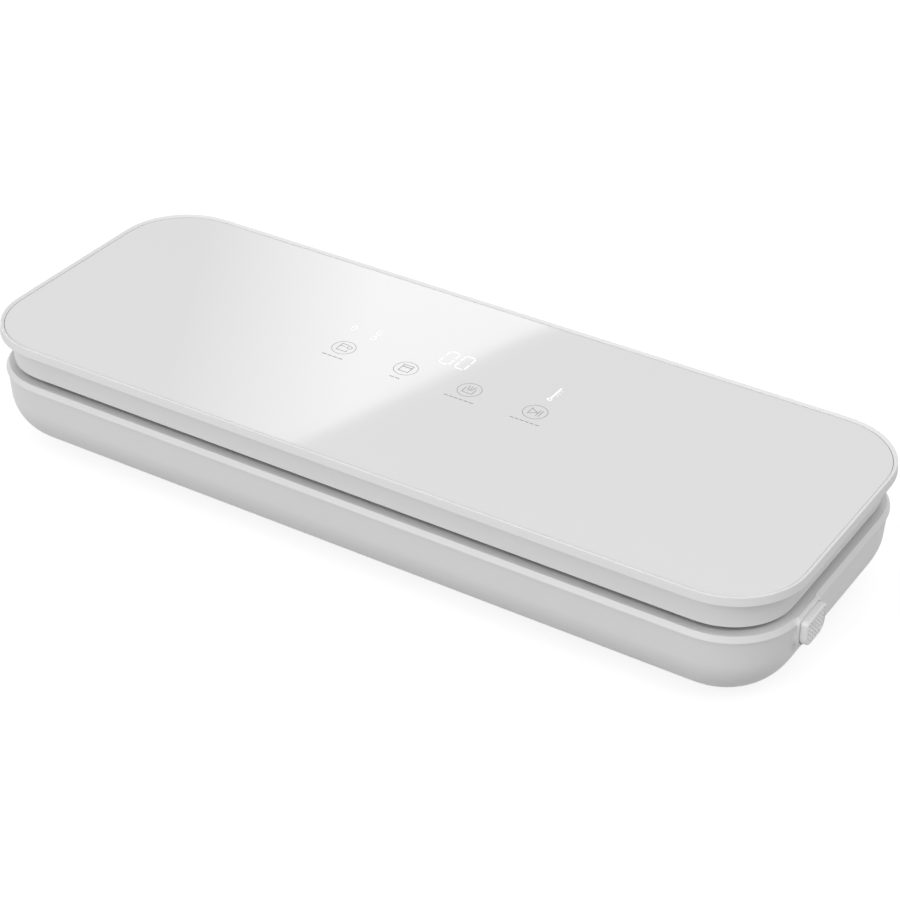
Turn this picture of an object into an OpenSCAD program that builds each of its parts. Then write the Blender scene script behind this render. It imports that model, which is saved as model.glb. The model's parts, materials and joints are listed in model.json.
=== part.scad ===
// Slim glass-topped vacuum sealer: a base with pump, heater and vacuum trough,
// and a hinged lid that carries the touch controls. Millimetres, +Z up, floor at z = 0.
// The front faces -Y, the release button is on the +X end.
// "Inset" always means the distance inwards from the outline of the lid frame.

/* [Overall] */
// Length of the lid frame, the longest piece
body_l = 390; // [380:2:410]
// Depth of the lid frame from front to back
body_w = 145; // [143:1:152]
// Plan radius of the lid frame's corners
corner_r = 35.5; // [34:0.5:38]
// Height that the rubber feet stand below the base
foot_h = 2; // [1.6:0.2:3]
// Height of the base shell up to the parting line
shell_h = 33.4; // [33.2:0.2:36]
// Height of the rim above the parting line
rim_h = 2.7; // [2.4:0.1:3]
// Gap in height between the rim and the resting lid
lid_gap = 2.1; // [1.9:0.1:2.6]
// Height of the whole lid
lid_h = 17.1; // [16.8:0.1:19]

/* [Base shell] */
// Wall and floor thickness of the base shell
shell_t = 2.5; // [2.2:0.1:2.8]
// Radius of the rounding between wall and bottom
bend_r = 23.2; // [22:0.2:23.6]
// Inset of the base wall at the parting line
wall_inset = 1.9; // [1.7:0.1:2.1]
// How much further in the drafted wall stands at the start of the bottom rounding
wall_draft = 0.6; // [0.3:0.1:0.8]
// Radius of a foot
foot_r = 8; // [6:0.5:9]
// Distance of a foot's centre from the frame's end
foot_end = 45; // [42:1:48]
// Distance of a foot's centre from the frame's long side
foot_side = 34.5; // [34:0.5:37]

/* [Deck] */
// Thickness of the deck plate
deck_t = 2.4; // [2.2:0.1:2.8]
// Depth of the deck plane below the top of the rim
deck_drop = 2.1; // [1.9:0.1:2.3]
// Inset of the rim's outer face
rim_inset = 1.5; // [1.3:0.1:1.6]
// Height of the bevel round the rim
rim_bevel = 2.2; // [1.8:0.1:2.3]
// Inset at which the inner slope of the rim reaches the deck plane
slope_inset = 6; // [5.6:0.1:6.4]
// Distance from the frame's end to the end of the vacuum trough
trough_end = 39; // [38:0.5:45]
// Width of the vacuum trough
trough_w = 34; // [30:1:35]
// Depth of the vacuum trough
trough_d = 10; // [8:0.5:10.5]
// Width of the foam gaskets
gasket_w = 8; // [6:0.5:8]
// Depth of the grooves that hold the gaskets
groove_d = 1.2; // [0.8:0.1:1.3]

/* [Sealing bar] */
// Distance from the frame's end to the end of the strip's seat
strip_end = 40; // [39:0.5:45]
// Width of the heating strip
strip_w = 5; // [3:0.5:6]
// Width of the sealing bar
bar_w = 11; // [9:0.5:12]
// Height of the sealing bar
bar_h = 4.2; // [3.9:0.1:4.4]
// Depth of the seat that holds the sealing bar
bar_seat = 2; // [1.6:0.1:2.2]

/* [Lid] */
// Height of the bevelled edge of the frame
edge_h = 2.5; // [2.3:0.1:2.8]
// Width of the frame from the glass to the outermost edge
edge_w = 2.15; // [1.9:0.05:2.4]
// Height of the frame's crest above the glass
crest_h = 1.2; // [0.8:0.1:1.4]
// Radius of the frame's lower edge
edge_r = 0.9; // [0.8:0.05:1]
// Thickness of the glass
glass_t = 2.2; // [2:0.1:2.3]
// Thickness of the adhesive tape under the glass
tape_t = 0.3; // [0.2:0.05:0.4]
// Radius of the hollow under the frame
cove_r = 2.4; // [2:0.1:2.6]
// Inset of the lid's wall below the frame
lid_inset = 5.3; // [5.1:0.1:5.6]
// Thickness of the lid's wall and floor
lid_t = 2.2; // [2:0.1:2.4]
// Height of the upper vacuum chamber in the lid
chamber_h = 6; // [5:0.5:6]

/* [Hinge] */
// Radius of the hinge pins
pin_r = 1.5; // [1.2:0.1:1.8]
// Distance of a hinge's centre from the frame's end
hinge_end = 80; // [75:1:90]
// Width of the ear between the lid's cheeks
ear_w = 12; // [10:0.5:14]
// Height of the hinge axis above the lid's underside
hinge_up = 3.8; // [3.6:0.1:4]
// Distance of the hinge axis from the frame's back edge
hinge_back = 10.5; // [10:0.25:11]

/* [Release] */
// Width of the button's cap
cap_w = 17.4; // [16:0.2:18.4]
// Height of the button's cap
cap_h = 12.1; // [11.5:0.1:12.4]
// Distance of the button's centre from the frame's front edge
cap_front = 39.8; // [39:0.2:41]
// How far the cap stands out of the frame's end
cap_proud = 2.5; // [2.3:0.1:2.8]
// Travel of the button and the latch bar
travel = 2.5; // [2.2:0.1:2.5]
// Thickness of the latch bar
latch_t = 1.5; // [1.2:0.1:1.6]
// Distance of a hook's centre beyond the end of the gaskets
hook_out = 6; // [5.5:0.5:7]

/* [Pump and electrics] */
// Radius of the pump motor
motor_r = 12; // [10:0.5:12.2]
// Length of the pump motor
motor_l = 38; // [32:1:42]
// Radius of the motor shaft
shaft_r = 1.15; // [1:0.05:1.4]
// Edge length of the square pump head
head_w = 26; // [24:0.5:26]
// Length of the power board
board_l = 105; // [100:1:108]
// Depth of the power board
board_w = 48; // [46:1:50]
// Thickness of the circuit boards
board_t = 1.6; // [1.2:0.1:1.8]
// Radius of the cable gland's bore
gland_r = 3.5; // [3:0.1:3.8]

/* [Clearances] */
// Gap between pieces of lid and base at rest
rest_gap = 0.3; // [0.25:0.05:0.4]
// Radial running clearance of shafts and hinge pins
run_gap = 0.05; // [0.03:0.01:0.08]
// Gap around the release button
cap_gap = 0.25; // [0.2:0.05:0.4]
// Gap beside the glass and around inserted pieces
fit_gap = 0.15; // [0.1:0.05:0.2]

/* [Hidden] */

// Faceting: corners in plan, and small round pieces
fn_plan = 144;
fn_round = 48;

// Reach of a cutter past the face that it opens, and how deep joined forms sink into each other
past = 1;
sink = 0.5;

// Heights
z_base = foot_h;
z_part = z_base + shell_h;
z_rim = z_part + rim_h;
z_deck = z_rim - deck_drop;
z_under = z_deck - deck_t;
z_floor = z_base + shell_t;
z_root = z_base + shell_t / 2;
z_lid = z_rim + lid_gap;
z_lid_floor = z_lid + lid_t;
z_top = z_lid + lid_h;
z_ledge = z_top - glass_t - tape_t;
z_edge = z_top - edge_h;
z_brow = z_edge - edge_r;
z_seam = z_brow - cove_r;

// The bottom rounding
bend_inset = wall_inset + wall_draft;
z_bend = z_base + bend_r;
floor_inset = bend_inset + bend_r;

// The body is centred between the frame's left end and the button's face
body_x = -cap_proud / 2;
front = -body_w / 2;
back = body_w / 2;
right_end = body_l / 2;

// The lip that locates the deck in the shell, and the flat part of the deck
lip_h = 4;
lip_t = 2;
deck_inset = slope_inset + 4;
bevel_in = 1.5;

// Sealing line, trough and gaskets
bar_front = 20.5;
bar_to_trough = 35;
bar_y = front + bar_front;
trough_y = bar_y + bar_to_trough;
trough_l = body_l - 2 * trough_end;
chamber_r = 8;
trough_wall = 2;
z_trough = z_deck - trough_d;
z_tub = z_trough - trough_wall;
gasket_land = 2;
gasket_l = trough_l + 2 * (gasket_land + gasket_w);
gasket_d = trough_w + 2 * (gasket_land + gasket_w);
gasket_r = chamber_r + gasket_land + gasket_w;
groove_gap = 0.1;
gasket_mid = (z_deck + z_lid) / 2;

// Sealing bar: its seat runs a little past the strip, the clamps sit in notches at its ends
strip_l = body_l - 2 * strip_end;
seat_past = 4;
seat_wall = 2;
seat_drop = 1.6;
z_strip = z_deck - bar_seat + bar_h;
strip_t = 0.3;
cloth_t = 0.3;
z_cloth = z_strip + cloth_t;
clamp_l = 5.8;
clamp_t = 1.1;
clamp_x = strip_l / 2 + 1.5;
clamp_drop = 1.4;
rivet_r = 1.6;

// Latch bar and hooks
hook_x = gasket_l / 2 + hook_out;
hook_y = front + 33.5;
hook_w = 10;
hook_t = 4;
nose_l = 2;
nose_h = 1.2;
latch_z = z_under - 6.6;
latch_y = front + 22.5;
latch_w = 8;
latch_past = 6;
plate_l = 17;
plate_step = 0.5;
plate_past = 5;
window_side = 1;
z_nose = latch_z + latch_t + rest_gap;
slot_front = 6.5;
slot_back = 4.5;
rib_t = 2.5;
rib_x = [-100, -20, 60, 120];

// Return spring, between a fixed rib and a tab of the latch bar
spring_x = -84;
spring_r = 2.6;
spring_l = 20;
spring_turns = 7;
spring_drop = 4.4;
wire_r = 0.4;
tab_x = spring_x + spring_l;
tab_t = 2;
tab_w = 6.4;
tab_h = 8;

// Button: the cap's outline is centred on cap_y and cap_z
cap_y = front + cap_front;
cap_z = z_rim - 1.1 - cap_h / 2;
cap_face = right_end + cap_proud;
cap_t = 3.5;
cap_top_r = 2;
cap_low_r = 5.2;
stud_border = 1.6;
stud_pitch = 1.5;
stud_r = 0.6;
stud_h = 0.3;
boss_face = cap_face - 3;
boss_grow = 1.8;
pocket_x = cap_face - cap_t - travel - rest_gap;
boss_root = pocket_x + 1.3;
pad_x = pocket_x - 2.7;
pad_grow = 1.4;
seam_gap = 0.1;
stem_w = 10;
stem_h = 5;
stem_z = latch_z + latch_t / 2;
shoulder_t = 2;
shoulder_w = 1.5;
shoulder_h = 1;
grip_gap = 1.4;

// Hinge
hinge_x = right_end - hinge_end;
hinge_y = back - hinge_back;
hinge_z = z_lid + hinge_up;
ear_r = 4;
ear_foot = 7;
cheek_w = 6;
cheek_gap = 0.5;
notch_gap = 0.7;

// Left end of the power board, which the middle posts and the pump follow
board_end = 73;
board_x = board_end - right_end;

// Screws; the posts between deck and base shell, and those of the lid
screw_r = 1.5;
pilot_r = 1.1;
head_r = 2.7;
head_t = 1.6;
head_seat = 3.1;
screw_l = 14;
post_end = 67;
post_side = 30.5;
post_to_board = 12;
post_x = [post_end - right_end, board_x + board_l + post_to_board, right_end - post_end];
post_y = [post_side - back, back - post_side];
post_r = 3.5;
stand_r = 5;
z_stand = z_floor + 6;
z_seat = z_base + 3.5;
lid_post_end = 45;
lid_post_side = 11.5;
lid_post_x = [lid_post_end - right_end, -60, 60, right_end - lid_post_end];
lid_post_y = [lid_post_side - back, back - lid_post_side];
lid_post_r = 3.2;
lid_seat = 1.2;
lid_seat_r = 3;
lid_screw_l = 9;

// Feet
foot_x = [foot_end - right_end, right_end - foot_end];
foot_y = [foot_side - back, back - foot_side];
foot_seat = 1.2;
foot_tip = 0.5;

// Pump, motor and crank run along X at the back of the base
pump_to_post = 9;
pump_x = post_x[1] + pump_to_post;
pump_y = back - 37.5;
pump_z = z_floor + 14.3;
head_l = 30;
motor_x = pump_x + head_l;
crank_room = 10.5;
head_wall = 8;
head_rib_x = [6, 14, 22];
head_rib_t = 1.5;
head_rib_side = 2;
head_rib_h = 0.8;
outlet_x = pump_x + 22;
outlet_r = 2.2;
outlet_bore = 1.2;
outlet_l = 4;
bush_r = 4;
bush_l = 2.5;
lug_y = 8;
lug_l = 4;
lug_w = 0.8;
lug_h = 3;
cam_x = pump_x + 12;
cam_l = 6;
cam_r = 6.5;
cam_step = 2;
shaft_past = 3.5;
mount_w = 6;
mount_t = 1.8;
mount_r = motor_r + mount_t;
mount_x = [motor_x + 4, motor_x + motor_l - mount_w - 4];
saddle_t = 3;
saddle_side = 4;
vent_n = 7;
vent_pitch = 9;
vent_l = 14;
vent_r = 1.2;

// Hose from the trough's nozzle to the pump head, with the valve and the sensor beside it
hose_x = pump_x + 15;
hose_z = z_floor + 7.5;
hose_r = 3;
hose_bore = 1.7;
hose_bend = 6;
hose_past = 8;
air_r = 1;
nozzle_r = 2.5;
nozzle_l = 3;
flange_r = 4.5;
flange_t = 1;
valve_x = 100;
valve_r = 7;
valve_h = 15;
valve_bore = 1.2;
lug = [12, 18, 2];
sensor_x = -60;
sensor_plate = [16, 14, 1.6];
sensor_box = [8, 8, 4];

// Power board on the left at the back, and the places of its parts from its left front corner
board_y = back - 64.5;
board_z = z_floor + 5;
board_edge = 4;
standoff_r = 3;
core = [24, 20, 16];
core_leg = 4;
core_yoke = 3;
window_w = 5;
coil_past = 3;
core_at = [26, 14];
can_x = board_l - 33;
can_r = 7;
can_h = 17;
small_can_r = 5;
small_can_h = 13;
can_y = [18, 33];
film = [8, 18, 12];
film_at = [10, 15];
relay_size = [12, 18, 14];
relay_at = [board_l - 19, 11];
fin_plate = [17, 3, 16];
fin = [2, 6, 16];
fin_n = 5;
fins_at = [board_l - 21, 31];
terminal = [18, 8, 10];
terminal_at = [10, 38];
way_x = [5, 13];
way = [4, 5, 3];

// Lid switch, hung on the deck beside the right hook and behind the bar's seat
switch = [6, 12.6, 4.8];
switch_x = hook_x - slot_front - switch.x;
switch_y = hook_y + 1;
lever = [1.2, 6, 2];

// Lid: crest and ledge of the frame, draft of the wall, edge of the floor, pressing strip
crest_in = 1.2;
crest_w = 0.3;
crest_bevel = [0.3, 0.4];
ledge_inset = 15;
lid_draft = 0.45;
floor_edge = lid_inset + 7;
press_x = strip_l / 2 + 1.9;
press_w = bar_w - 1;

// Touch board in the lid, with keys, display and indicators
touch_l = 132;
touch_w = 50;
touch_y = 11;
touch_z = z_ledge + tape_t - 4.7;
touch_edge = [8, 5];
key_x = [-48, -16, 16, 48];
key_y = 5;
key_r = 5;
key_wall = 0.8;
lamp_gap = 0.2;
display = [[-12, 17], [10, 33]];
lamp_x = [-54, -42, 49];
lamp_y = [17, 26];
lamp_w = 6;
tape_in = 13;
glass_gap = z_ledge + tape_t - touch_z - board_t;

// Flat cable from the touch board down to the lid's outlet
ribbon_x = -40;
ribbon_w = 12;
ribbon_t = 0.5;
outlet_front = 7.5;
outlet_back = 5;

// Mains cable gland in the back wall
gland_end = 65;
gland_x = gland_end - right_end;
gland_z = z_part - 8.6;
gland_wall = 1.5;
gland_flange = gland_r + 2;
gland_pad_t = 6.5;
gland_head_t = 1.5;
gland_nut_t = 2;
gland_room = 0.8;

// ---------- outlines and sweeps ----------

// Rounded rectangle of the body's plan, a given inset inside the frame's outline
module outline(inset) {
    square([body_l - 2 * corner_r, body_w - 2 * inset], center = true);
    square([body_l - 2 * inset, body_w - 2 * corner_r], center = true);
    for (sx = [-1, 1], sy = [-1, 1])
        translate([sx * (body_l / 2 - corner_r), sy * (body_w / 2 - corner_r)])
            circle(r = corner_r - inset, $fn = fn_plan);
}

// Flat plate that follows the body's outline
module plate(inset, z, h) {
    translate([0, 0, z]) linear_extrude(h) outline(inset);
}

// Carries a profile drawn as (inset, height) round the body's outline
module sweep_round() {
    for (sx = [0, 1], sy = [0, 1])
        mirror([sx, 0, 0]) mirror([0, sy, 0])
            translate([body_l / 2 - corner_r, body_w / 2 - corner_r, 0])
                rotate_extrude(angle = 90, $fn = fn_plan)
                    translate([corner_r, 0]) mirror([1, 0]) children();
    for (s = [0, 1]) {
        mirror([s, 0, 0]) translate([body_l / 2, body_w / 2 - corner_r, 0])
            rotate([90, 0, 0]) linear_extrude(body_w - 2 * corner_r)
                mirror([1, 0]) children();
        mirror([0, s, 0]) translate([corner_r - body_l / 2, body_w / 2, 0])
            rotate([90, 0, 90]) linear_extrude(body_l - 2 * corner_r)
                mirror([1, 0]) children();
    }
}

// Rounded rectangle with its centre at the origin
module rounded(l, w, r) {
    square([l - 2 * r, w], center = true);
    square([l, w - 2 * r], center = true);
    for (sx = [-1, 1], sy = [-1, 1])
        translate([sx * (l / 2 - r), sy * (w / 2 - r)]) circle(r = r, $fn = fn_round);
}

// Vertical cylinder from z0 to z1
module post(x, y, z0, z1, r) {
    translate([x, y, z0]) cylinder(r = r, h = z1 - z0, $fn = fn_round);
}

// Box given by its lower and upper corners
module block(a, b) {
    translate(a) cube(b - a);
}

// Cylinder along X from x0 to x1
module rod_x(x0, x1, y, z, r) {
    translate([x0, y, z]) rotate([0, 90, 0]) cylinder(r = r, h = x1 - x0, $fn = fn_round);
}

// Cylinder along Y from y0 to y1
module rod_y(x, y0, y1, z, r) {
    translate([x, y0, z]) rotate([-90, 0, 0]) cylinder(r = r, h = y1 - y0, $fn = fn_round);
}

// Point where a line from p touches a circle, on its outer side
function touch_point(p, c, r) =
    let (v = c - p, d = norm(v), a = atan2(v.y, v.x) - asin(r / d), l = sqrt(d * d - r * r))
    p + l * [cos(a), sin(a)];

// ---------- base ----------

// Outline of the button's cap: square-shouldered above, well rounded below
module cap_outline(grow) {
    top_r = cap_top_r + grow;
    low_r = cap_low_r + grow;
    w = cap_w + 2 * grow;
    h = cap_h + 2 * grow;
    square([w - 2 * low_r, h], center = true);
    translate([-w / 2, low_r - h / 2]) square([w, h - low_r - top_r]);
    translate([top_r - w / 2, 0]) square([w - 2 * top_r, h / 2]);
    for (s = [-1, 1]) {
        translate([s * (w / 2 - top_r), h / 2 - top_r]) circle(r = top_r, $fn = fn_round);
        translate([s * (w / 2 - low_r), low_r - h / 2]) circle(r = low_r, $fn = fn_round);
    }
}

// The cap's outline carried along X
module cap_prism(x0, x1, grow) {
    translate([x0, cap_y, cap_z]) rotate([90, 0, 90]) linear_extrude(x1 - x0)
        cap_outline(grow);
}

// Drafted wall with the large rounding down to the bottom
module base_wall() {
    polygon([[wall_inset, z_part], [bend_inset, z_bend],
             [bend_inset + shell_t, z_bend], [wall_inset + shell_t, z_part]]);
    translate([floor_inset, z_bend]) difference() {
        intersection() {
            circle(r = bend_r, $fn = fn_plan);
            translate([-bend_r, -bend_r]) square(bend_r);
        }
        circle(r = bend_r - shell_t, $fn = fn_plan);
    }
}

module base_shell() color("gainsboro") translate([body_x, 0, 0]) difference() {
    union() {
        sweep_round() base_wall();
        plate(floor_inset, z_base, shell_t);
        button_boss();
        for (x = post_x, y = post_y) post(x, y, z_base, z_stand, stand_r);
        for (p = board_holes()) post(p.x, p.y, z_floor - sink, board_z, standoff_r);
        for (x = mount_x) mount_rib(x);
        for (x = rib_x) latch_rib(x);
        spring_rib();
        gland_pad();
    }
    for (x = foot_x, y = foot_y) post(x, y, z_base - past, z_base + foot_seat, foot_r + fit_gap);
    for (x = post_x, y = post_y) {
        post(x, y, z_base - past, z_stand + past, screw_r + fit_gap);
        post(x, y, z_base - past, z_seat, head_seat);
    }
    for (p = board_holes()) post(p.x, p.y, z_floor, board_z + past, pilot_r);
    cap_prism(pocket_x, boss_face + past, cap_gap);
    block([pad_x - past, cap_y - stem_w / 2 - cap_gap, stem_z - stem_h / 2 - cap_gap],
          [pocket_x + past, cap_y + stem_w / 2 + cap_gap, stem_z + stem_h / 2 + cap_gap]);
    rod_y(gland_x, back - wall_inset - 2 * gland_pad_t, back, gland_z, gland_r + gland_wall);
    for (i = [0 : vent_n - 1]) vent_slot(pump_x + vent_l / 2 + vent_pitch * i - past);
}

// Boss round the button outside the pocket's floor, and its thicker seat behind it
module button_boss() {
    intersection() {
        cap_prism(boss_root, boss_face, boss_grow);
        block([pad_x, front, z_base], [boss_face, 0, z_rim]);
    }
    intersection() {
        cap_prism(pad_x, boss_root + fit_gap, pad_grow);
        block([pad_x, front, z_base], [boss_face, 0, z_under - seam_gap]);
    }
}

// Places of the four board screws
function board_holes() =
    [for (x = [board_edge, board_l - board_edge], y = [board_edge, board_w - board_edge])
        [board_x + x, board_y + y]];

// Half-round saddle that carries a rubber ring of the motor
module mount_rib(x) {
    side = mount_r + saddle_side;
    rib = x + (mount_w - saddle_t) / 2;
    difference() {
        block([rib, pump_y - side, z_root], [rib + saddle_t, pump_y + side, pump_z]);
        rod_x(x, x + mount_w, pump_y, pump_z, mount_r);
    }
}

// Rib under the latch bar
module latch_rib(x) {
    block([x, latch_y - latch_w / 2 + past, z_root],
          [x + rib_t, latch_y + latch_w / 2 - sink, latch_z - rest_gap]);
}

// Fixed stop of the return spring
module spring_rib() {
    block([spring_x - rib_t, latch_y - tab_w / 2, z_root],
          [spring_x, latch_y + tab_w / 2, latch_z - past]);
}

// Air outlet slot in the bottom under the pump
module vent_slot(x) {
    translate([x, pump_y, z_base - past]) linear_extrude(shell_t + 2 * past) {
        square([2 * vent_r, vent_l], center = true);
        for (s = [-1, 1]) translate([0, s * vent_l / 2]) circle(r = vent_r, $fn = fn_round);
    }
}

// Flat pad that makes the curved back wall level for the gland
module gland_pad() {
    rod_y(gland_x, back - wall_inset - gland_pad_t, back - wall_inset, gland_z,
          gland_flange + fit_gap);
}

// Bevelled rim, its inner slope and the lip that locates the deck in the shell
module rim_profile() {
    lip = wall_inset + shell_t + wall_draft * lip_h / (z_part - z_bend) + fit_gap;
    polygon([[rim_inset, z_part], [rim_inset, z_rim - rim_bevel],
             [rim_inset + bevel_in, z_rim], [slope_inset, z_deck], [deck_inset, z_deck],
             [deck_inset, z_under], [lip + lip_t, z_under], [lip + lip_t, z_part - lip_h],
             [lip, z_part - lip_h], [lip, z_part]]);
}

module base_deck() color("whitesmoke") translate([body_x, 0, 0]) difference() {
    union() {
        sweep_round() rim_profile();
        plate(deck_inset, z_under, deck_t);
        translate([0, trough_y, z_tub]) linear_extrude(trough_d)
            rounded(trough_l + 2 * trough_wall, trough_w + 2 * trough_wall,
                    chamber_r + trough_wall);
        block([-strip_l / 2 - seat_past - seat_wall, bar_y - bar_w / 2 - seat_wall,
               z_under - seat_drop],
              [strip_l / 2 + seat_past + seat_wall, bar_y + bar_w / 2 + seat_wall,
               z_under + sink]);
        for (x = post_x, y = post_y) post(x, y, z_stand, z_under + sink, post_r);
        for (s = [-1, 1]) hinge_ear(s * hinge_x);
    }
    translate([0, trough_y, z_trough]) linear_extrude(trough_d + past)
        rounded(trough_l, trough_w, chamber_r);
    translate([0, trough_y, z_deck - groove_d]) linear_extrude(groove_d + past)
        gasket_ring(groove_gap);
    block([-strip_l / 2 - seat_past, bar_y - bar_w / 2 - groove_gap, z_deck - bar_seat],
          [strip_l / 2 + seat_past, bar_y + bar_w / 2 + groove_gap, z_deck + past]);
    for (s = [-1, 1])
        block([s * hook_x - slot_front, hook_y - hook_w / 2 - nose_l, z_under - past],
              [s * hook_x + slot_back, hook_y + hook_w / 2 + nose_l, z_deck + past]);
    for (x = post_x, y = post_y) post(x, y, z_stand - past, z_stand + screw_l, pilot_r);
    for (x = [hose_x, valve_x]) post(x, trough_y, z_tub - past, z_trough + past, nozzle_r);
    post(sensor_x, trough_y, z_tub - past, z_trough + past, air_r);
    for (s = [-1, 1]) rod_x(s * hinge_x - ear_w, s * hinge_x + ear_w, hinge_y, hinge_z,
                            pin_r + run_gap);
    ribbon_outlet(z_under - past, z_deck + past);
    cap_prism(boss_root - seam_gap, right_end, boss_grow + seam_gap);
    cap_prism(pocket_x, right_end, cap_gap);
    block([pad_x - 2 * seam_gap, cap_y - cap_w / 2 - boss_grow - 4 * seam_gap, cap_z - cap_h],
          [boss_root + 2 * seam_gap, cap_y + cap_w / 2 + boss_grow + 4 * seam_gap, z_under]);
    block([gland_x - gland_flange - gland_room, back - wall_inset - gland_pad_t - 4, gland_z],
          [gland_x + gland_flange + gland_room, back - wall_inset - past, z_under]);
}

// Cutter for the flat cable's way out, between two heights
module ribbon_outlet(z0, z1) {
    block([ribbon_x - ribbon_w / 2 - past, hinge_y - outlet_front, z0],
          [ribbon_x + ribbon_w / 2 + past, hinge_y - outlet_back, z1]);
}

// Foam ring round the trough, grown by a gap for its groove
module gasket_ring(gap) {
    difference() {
        rounded(gasket_l + 2 * gap, gasket_d + 2 * gap, gasket_r);
        rounded(gasket_l - 2 * gasket_w - 2 * gap, gasket_d - 2 * gasket_w - 2 * gap,
                gasket_r - gasket_w);
    }
}

// Upright ear on the deck, round on the hinge axis
module hinge_ear(x) {
    rod_x(x - ear_w / 2, x + ear_w / 2, hinge_y, hinge_z, ear_r);
    block([x - ear_w / 2, hinge_y - ear_foot / 2, z_under + past],
          [x + ear_w / 2, hinge_y + ear_foot / 2, hinge_z]);
}

module lower_gasket() color("dimgray") translate([body_x, trough_y, z_deck - groove_d])
    linear_extrude(gasket_mid - rest_gap / 2 - z_deck + groove_d) gasket_ring(0);

// Heat-resistant bar with a shallow channel for the strip and a notch for each clamp
module sealing_bar() color("tan") translate([body_x, bar_y, 0]) difference() {
    bar_x = strip_l / 2 + seat_past - groove_gap;
    block([-bar_x, -bar_w / 2, z_deck - bar_seat], [bar_x, bar_w / 2, z_strip]);
    block([-bar_x - past, -strip_w / 2, z_strip - strip_t],
          [bar_x + past, strip_w / 2, z_strip + past]);
    for (s = [-1, 1])
        block([s * clamp_x - clamp_l / 2 - groove_gap, -bar_w / 2 - past, z_strip - clamp_drop],
              [s * clamp_x + clamp_l / 2 + groove_gap, bar_w / 2 + past, z_strip + past]);
}

module heating_strip() color("silver") translate([body_x, bar_y, z_strip - strip_t])
    block([clamp_l / 2 - clamp_x + groove_gap, -strip_w / 2, 0],
          [clamp_x - clamp_l / 2 - groove_gap, strip_w / 2, strip_t]);

// Woven non-stick tape over the strip
module release_tape() color("saddlebrown") translate([body_x, bar_y, z_strip])
    block([clamp_l / 2 - clamp_x + fit_gap, -bar_w / 2 + fit_gap, 0],
          [clamp_x - clamp_l / 2 - fit_gap, bar_w / 2 - fit_gap, cloth_t]);

// Brass clamps that hold and feed the strip at both ends
module strip_clamps() color("goldenrod") for (s = [-1, 1])
    translate([body_x + s * clamp_x, bar_y, z_strip - clamp_drop]) {
        block([-clamp_l / 2, 1 - bar_w / 2, 0], [clamp_l / 2, bar_w / 2 - 1, clamp_t]);
        post(0, 0, clamp_t, clamp_t + sink, rivet_r);
    }

// Nozzle that leads the air from the trough to the hose
module suction_nozzle() color("lightgray") translate([body_x + hose_x, trough_y, 0])
    difference() {
        union() {
            post(0, 0, z_tub - nozzle_l, z_trough, nozzle_r);
            post(0, 0, z_trough, z_trough + flange_t, flange_r);
            post(0, 0, hose_z + hose_bend, z_tub - nozzle_l, hose_bore);
        }
        post(0, 0, hose_z, z_trough + flange_t + past, air_r);
    }

// Silicone hose: down from the nozzle, one bend, then back to the pump head
module suction_hose() color("ivory") translate([body_x + hose_x, trough_y, 0]) {
    difference() {
        hose_run(hose_r);
        hose_run(hose_bore);
    }
}

// The hose's course, filled to a radius
module hose_run(r) {
    post(0, 0, hose_z + hose_bend, z_tub - nozzle_l, r);
    translate([0, hose_bend, hose_z + hose_bend]) rotate([0, 90, 0])
        rotate_extrude(angle = 90, start = 270, $fn = fn_round)
            translate([hose_bend, 0]) circle(r = r, $fn = fn_round);
    rod_y(0, hose_bend, pump_y - head_w / 2 - trough_y, hose_z, r);
}

// Pump head with inlet and outlet stubs and the chamber of the crank
module pump_head() color("slategray") translate([body_x, 0, 0]) {
    face = head_w / 2;
    difference() {
        union() {
            block([pump_x, pump_y - face, pump_z - face],
                  [pump_x + head_l, pump_y + face, pump_z + face]);
            for (x = head_rib_x)
                block([pump_x + x, pump_y - face + head_rib_side, pump_z],
                      [pump_x + x + head_rib_t, pump_y + face - head_rib_side,
                       pump_z + face + head_rib_h]);
            rod_y(hose_x, pump_y - face - hose_past, pump_y - face + past, hose_z, hose_bore);
            rod_y(outlet_x, pump_y + face - past, pump_y + face + outlet_l, pump_z, outlet_r);
        }
        rod_x(pump_x + head_wall, pump_x + head_l - saddle_t, pump_y, pump_z, crank_room);
        rod_x(pump_x + head_l - 2 * saddle_t, pump_x + head_l + past, pump_y, pump_z,
              shaft_r + air_r);
        rod_y(hose_x, pump_y - face - hose_past - past, pump_y - crank_room + 2 * past, hose_z,
              air_r);
        rod_y(outlet_x, pump_y + crank_room - 2 * past, pump_y + face + outlet_l + past, pump_z,
              outlet_bore);
    }
}

// Motor can with its rear bush and terminals; the shaft runs through it
module pump_motor() color("silver") translate([body_x, 0, 0]) {
    end_x = motor_x + motor_l;
    difference() {
        union() {
            rod_x(motor_x, end_x, pump_y, pump_z, motor_r);
            rod_x(end_x, end_x + bush_l, pump_y, pump_z, bush_r);
            for (s = [-1, 1])
                block([end_x, pump_y + s * lug_y - lug_w / 2, pump_z - lug_h / 2],
                      [end_x + lug_l, pump_y + s * lug_y + lug_w / 2, pump_z + lug_h / 2]);
        }
        rod_x(motor_x - past, end_x + bush_l + past, pump_y, pump_z, shaft_r + run_gap);
    }
}

// Rubber rings between the motor and its saddles
module pump_mounts() color("black") translate([body_x, 0, 0])
    for (x = mount_x) difference() {
        rod_x(x, x + mount_w, pump_y, pump_z, mount_r);
        rod_x(x - past, x + mount_w + past, pump_y, pump_z, motor_r);
    }

// Turning shaft with the eccentric that works the diaphragms
module pump_crank() color("darkgray") translate([body_x, 0, 0]) {
    rod_x(cam_x - past, motor_x + motor_l + shaft_past, pump_y, pump_z, shaft_r);
    rod_x(cam_x, cam_x + cam_l, pump_y, pump_z + cam_step, cam_r);
}

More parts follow.
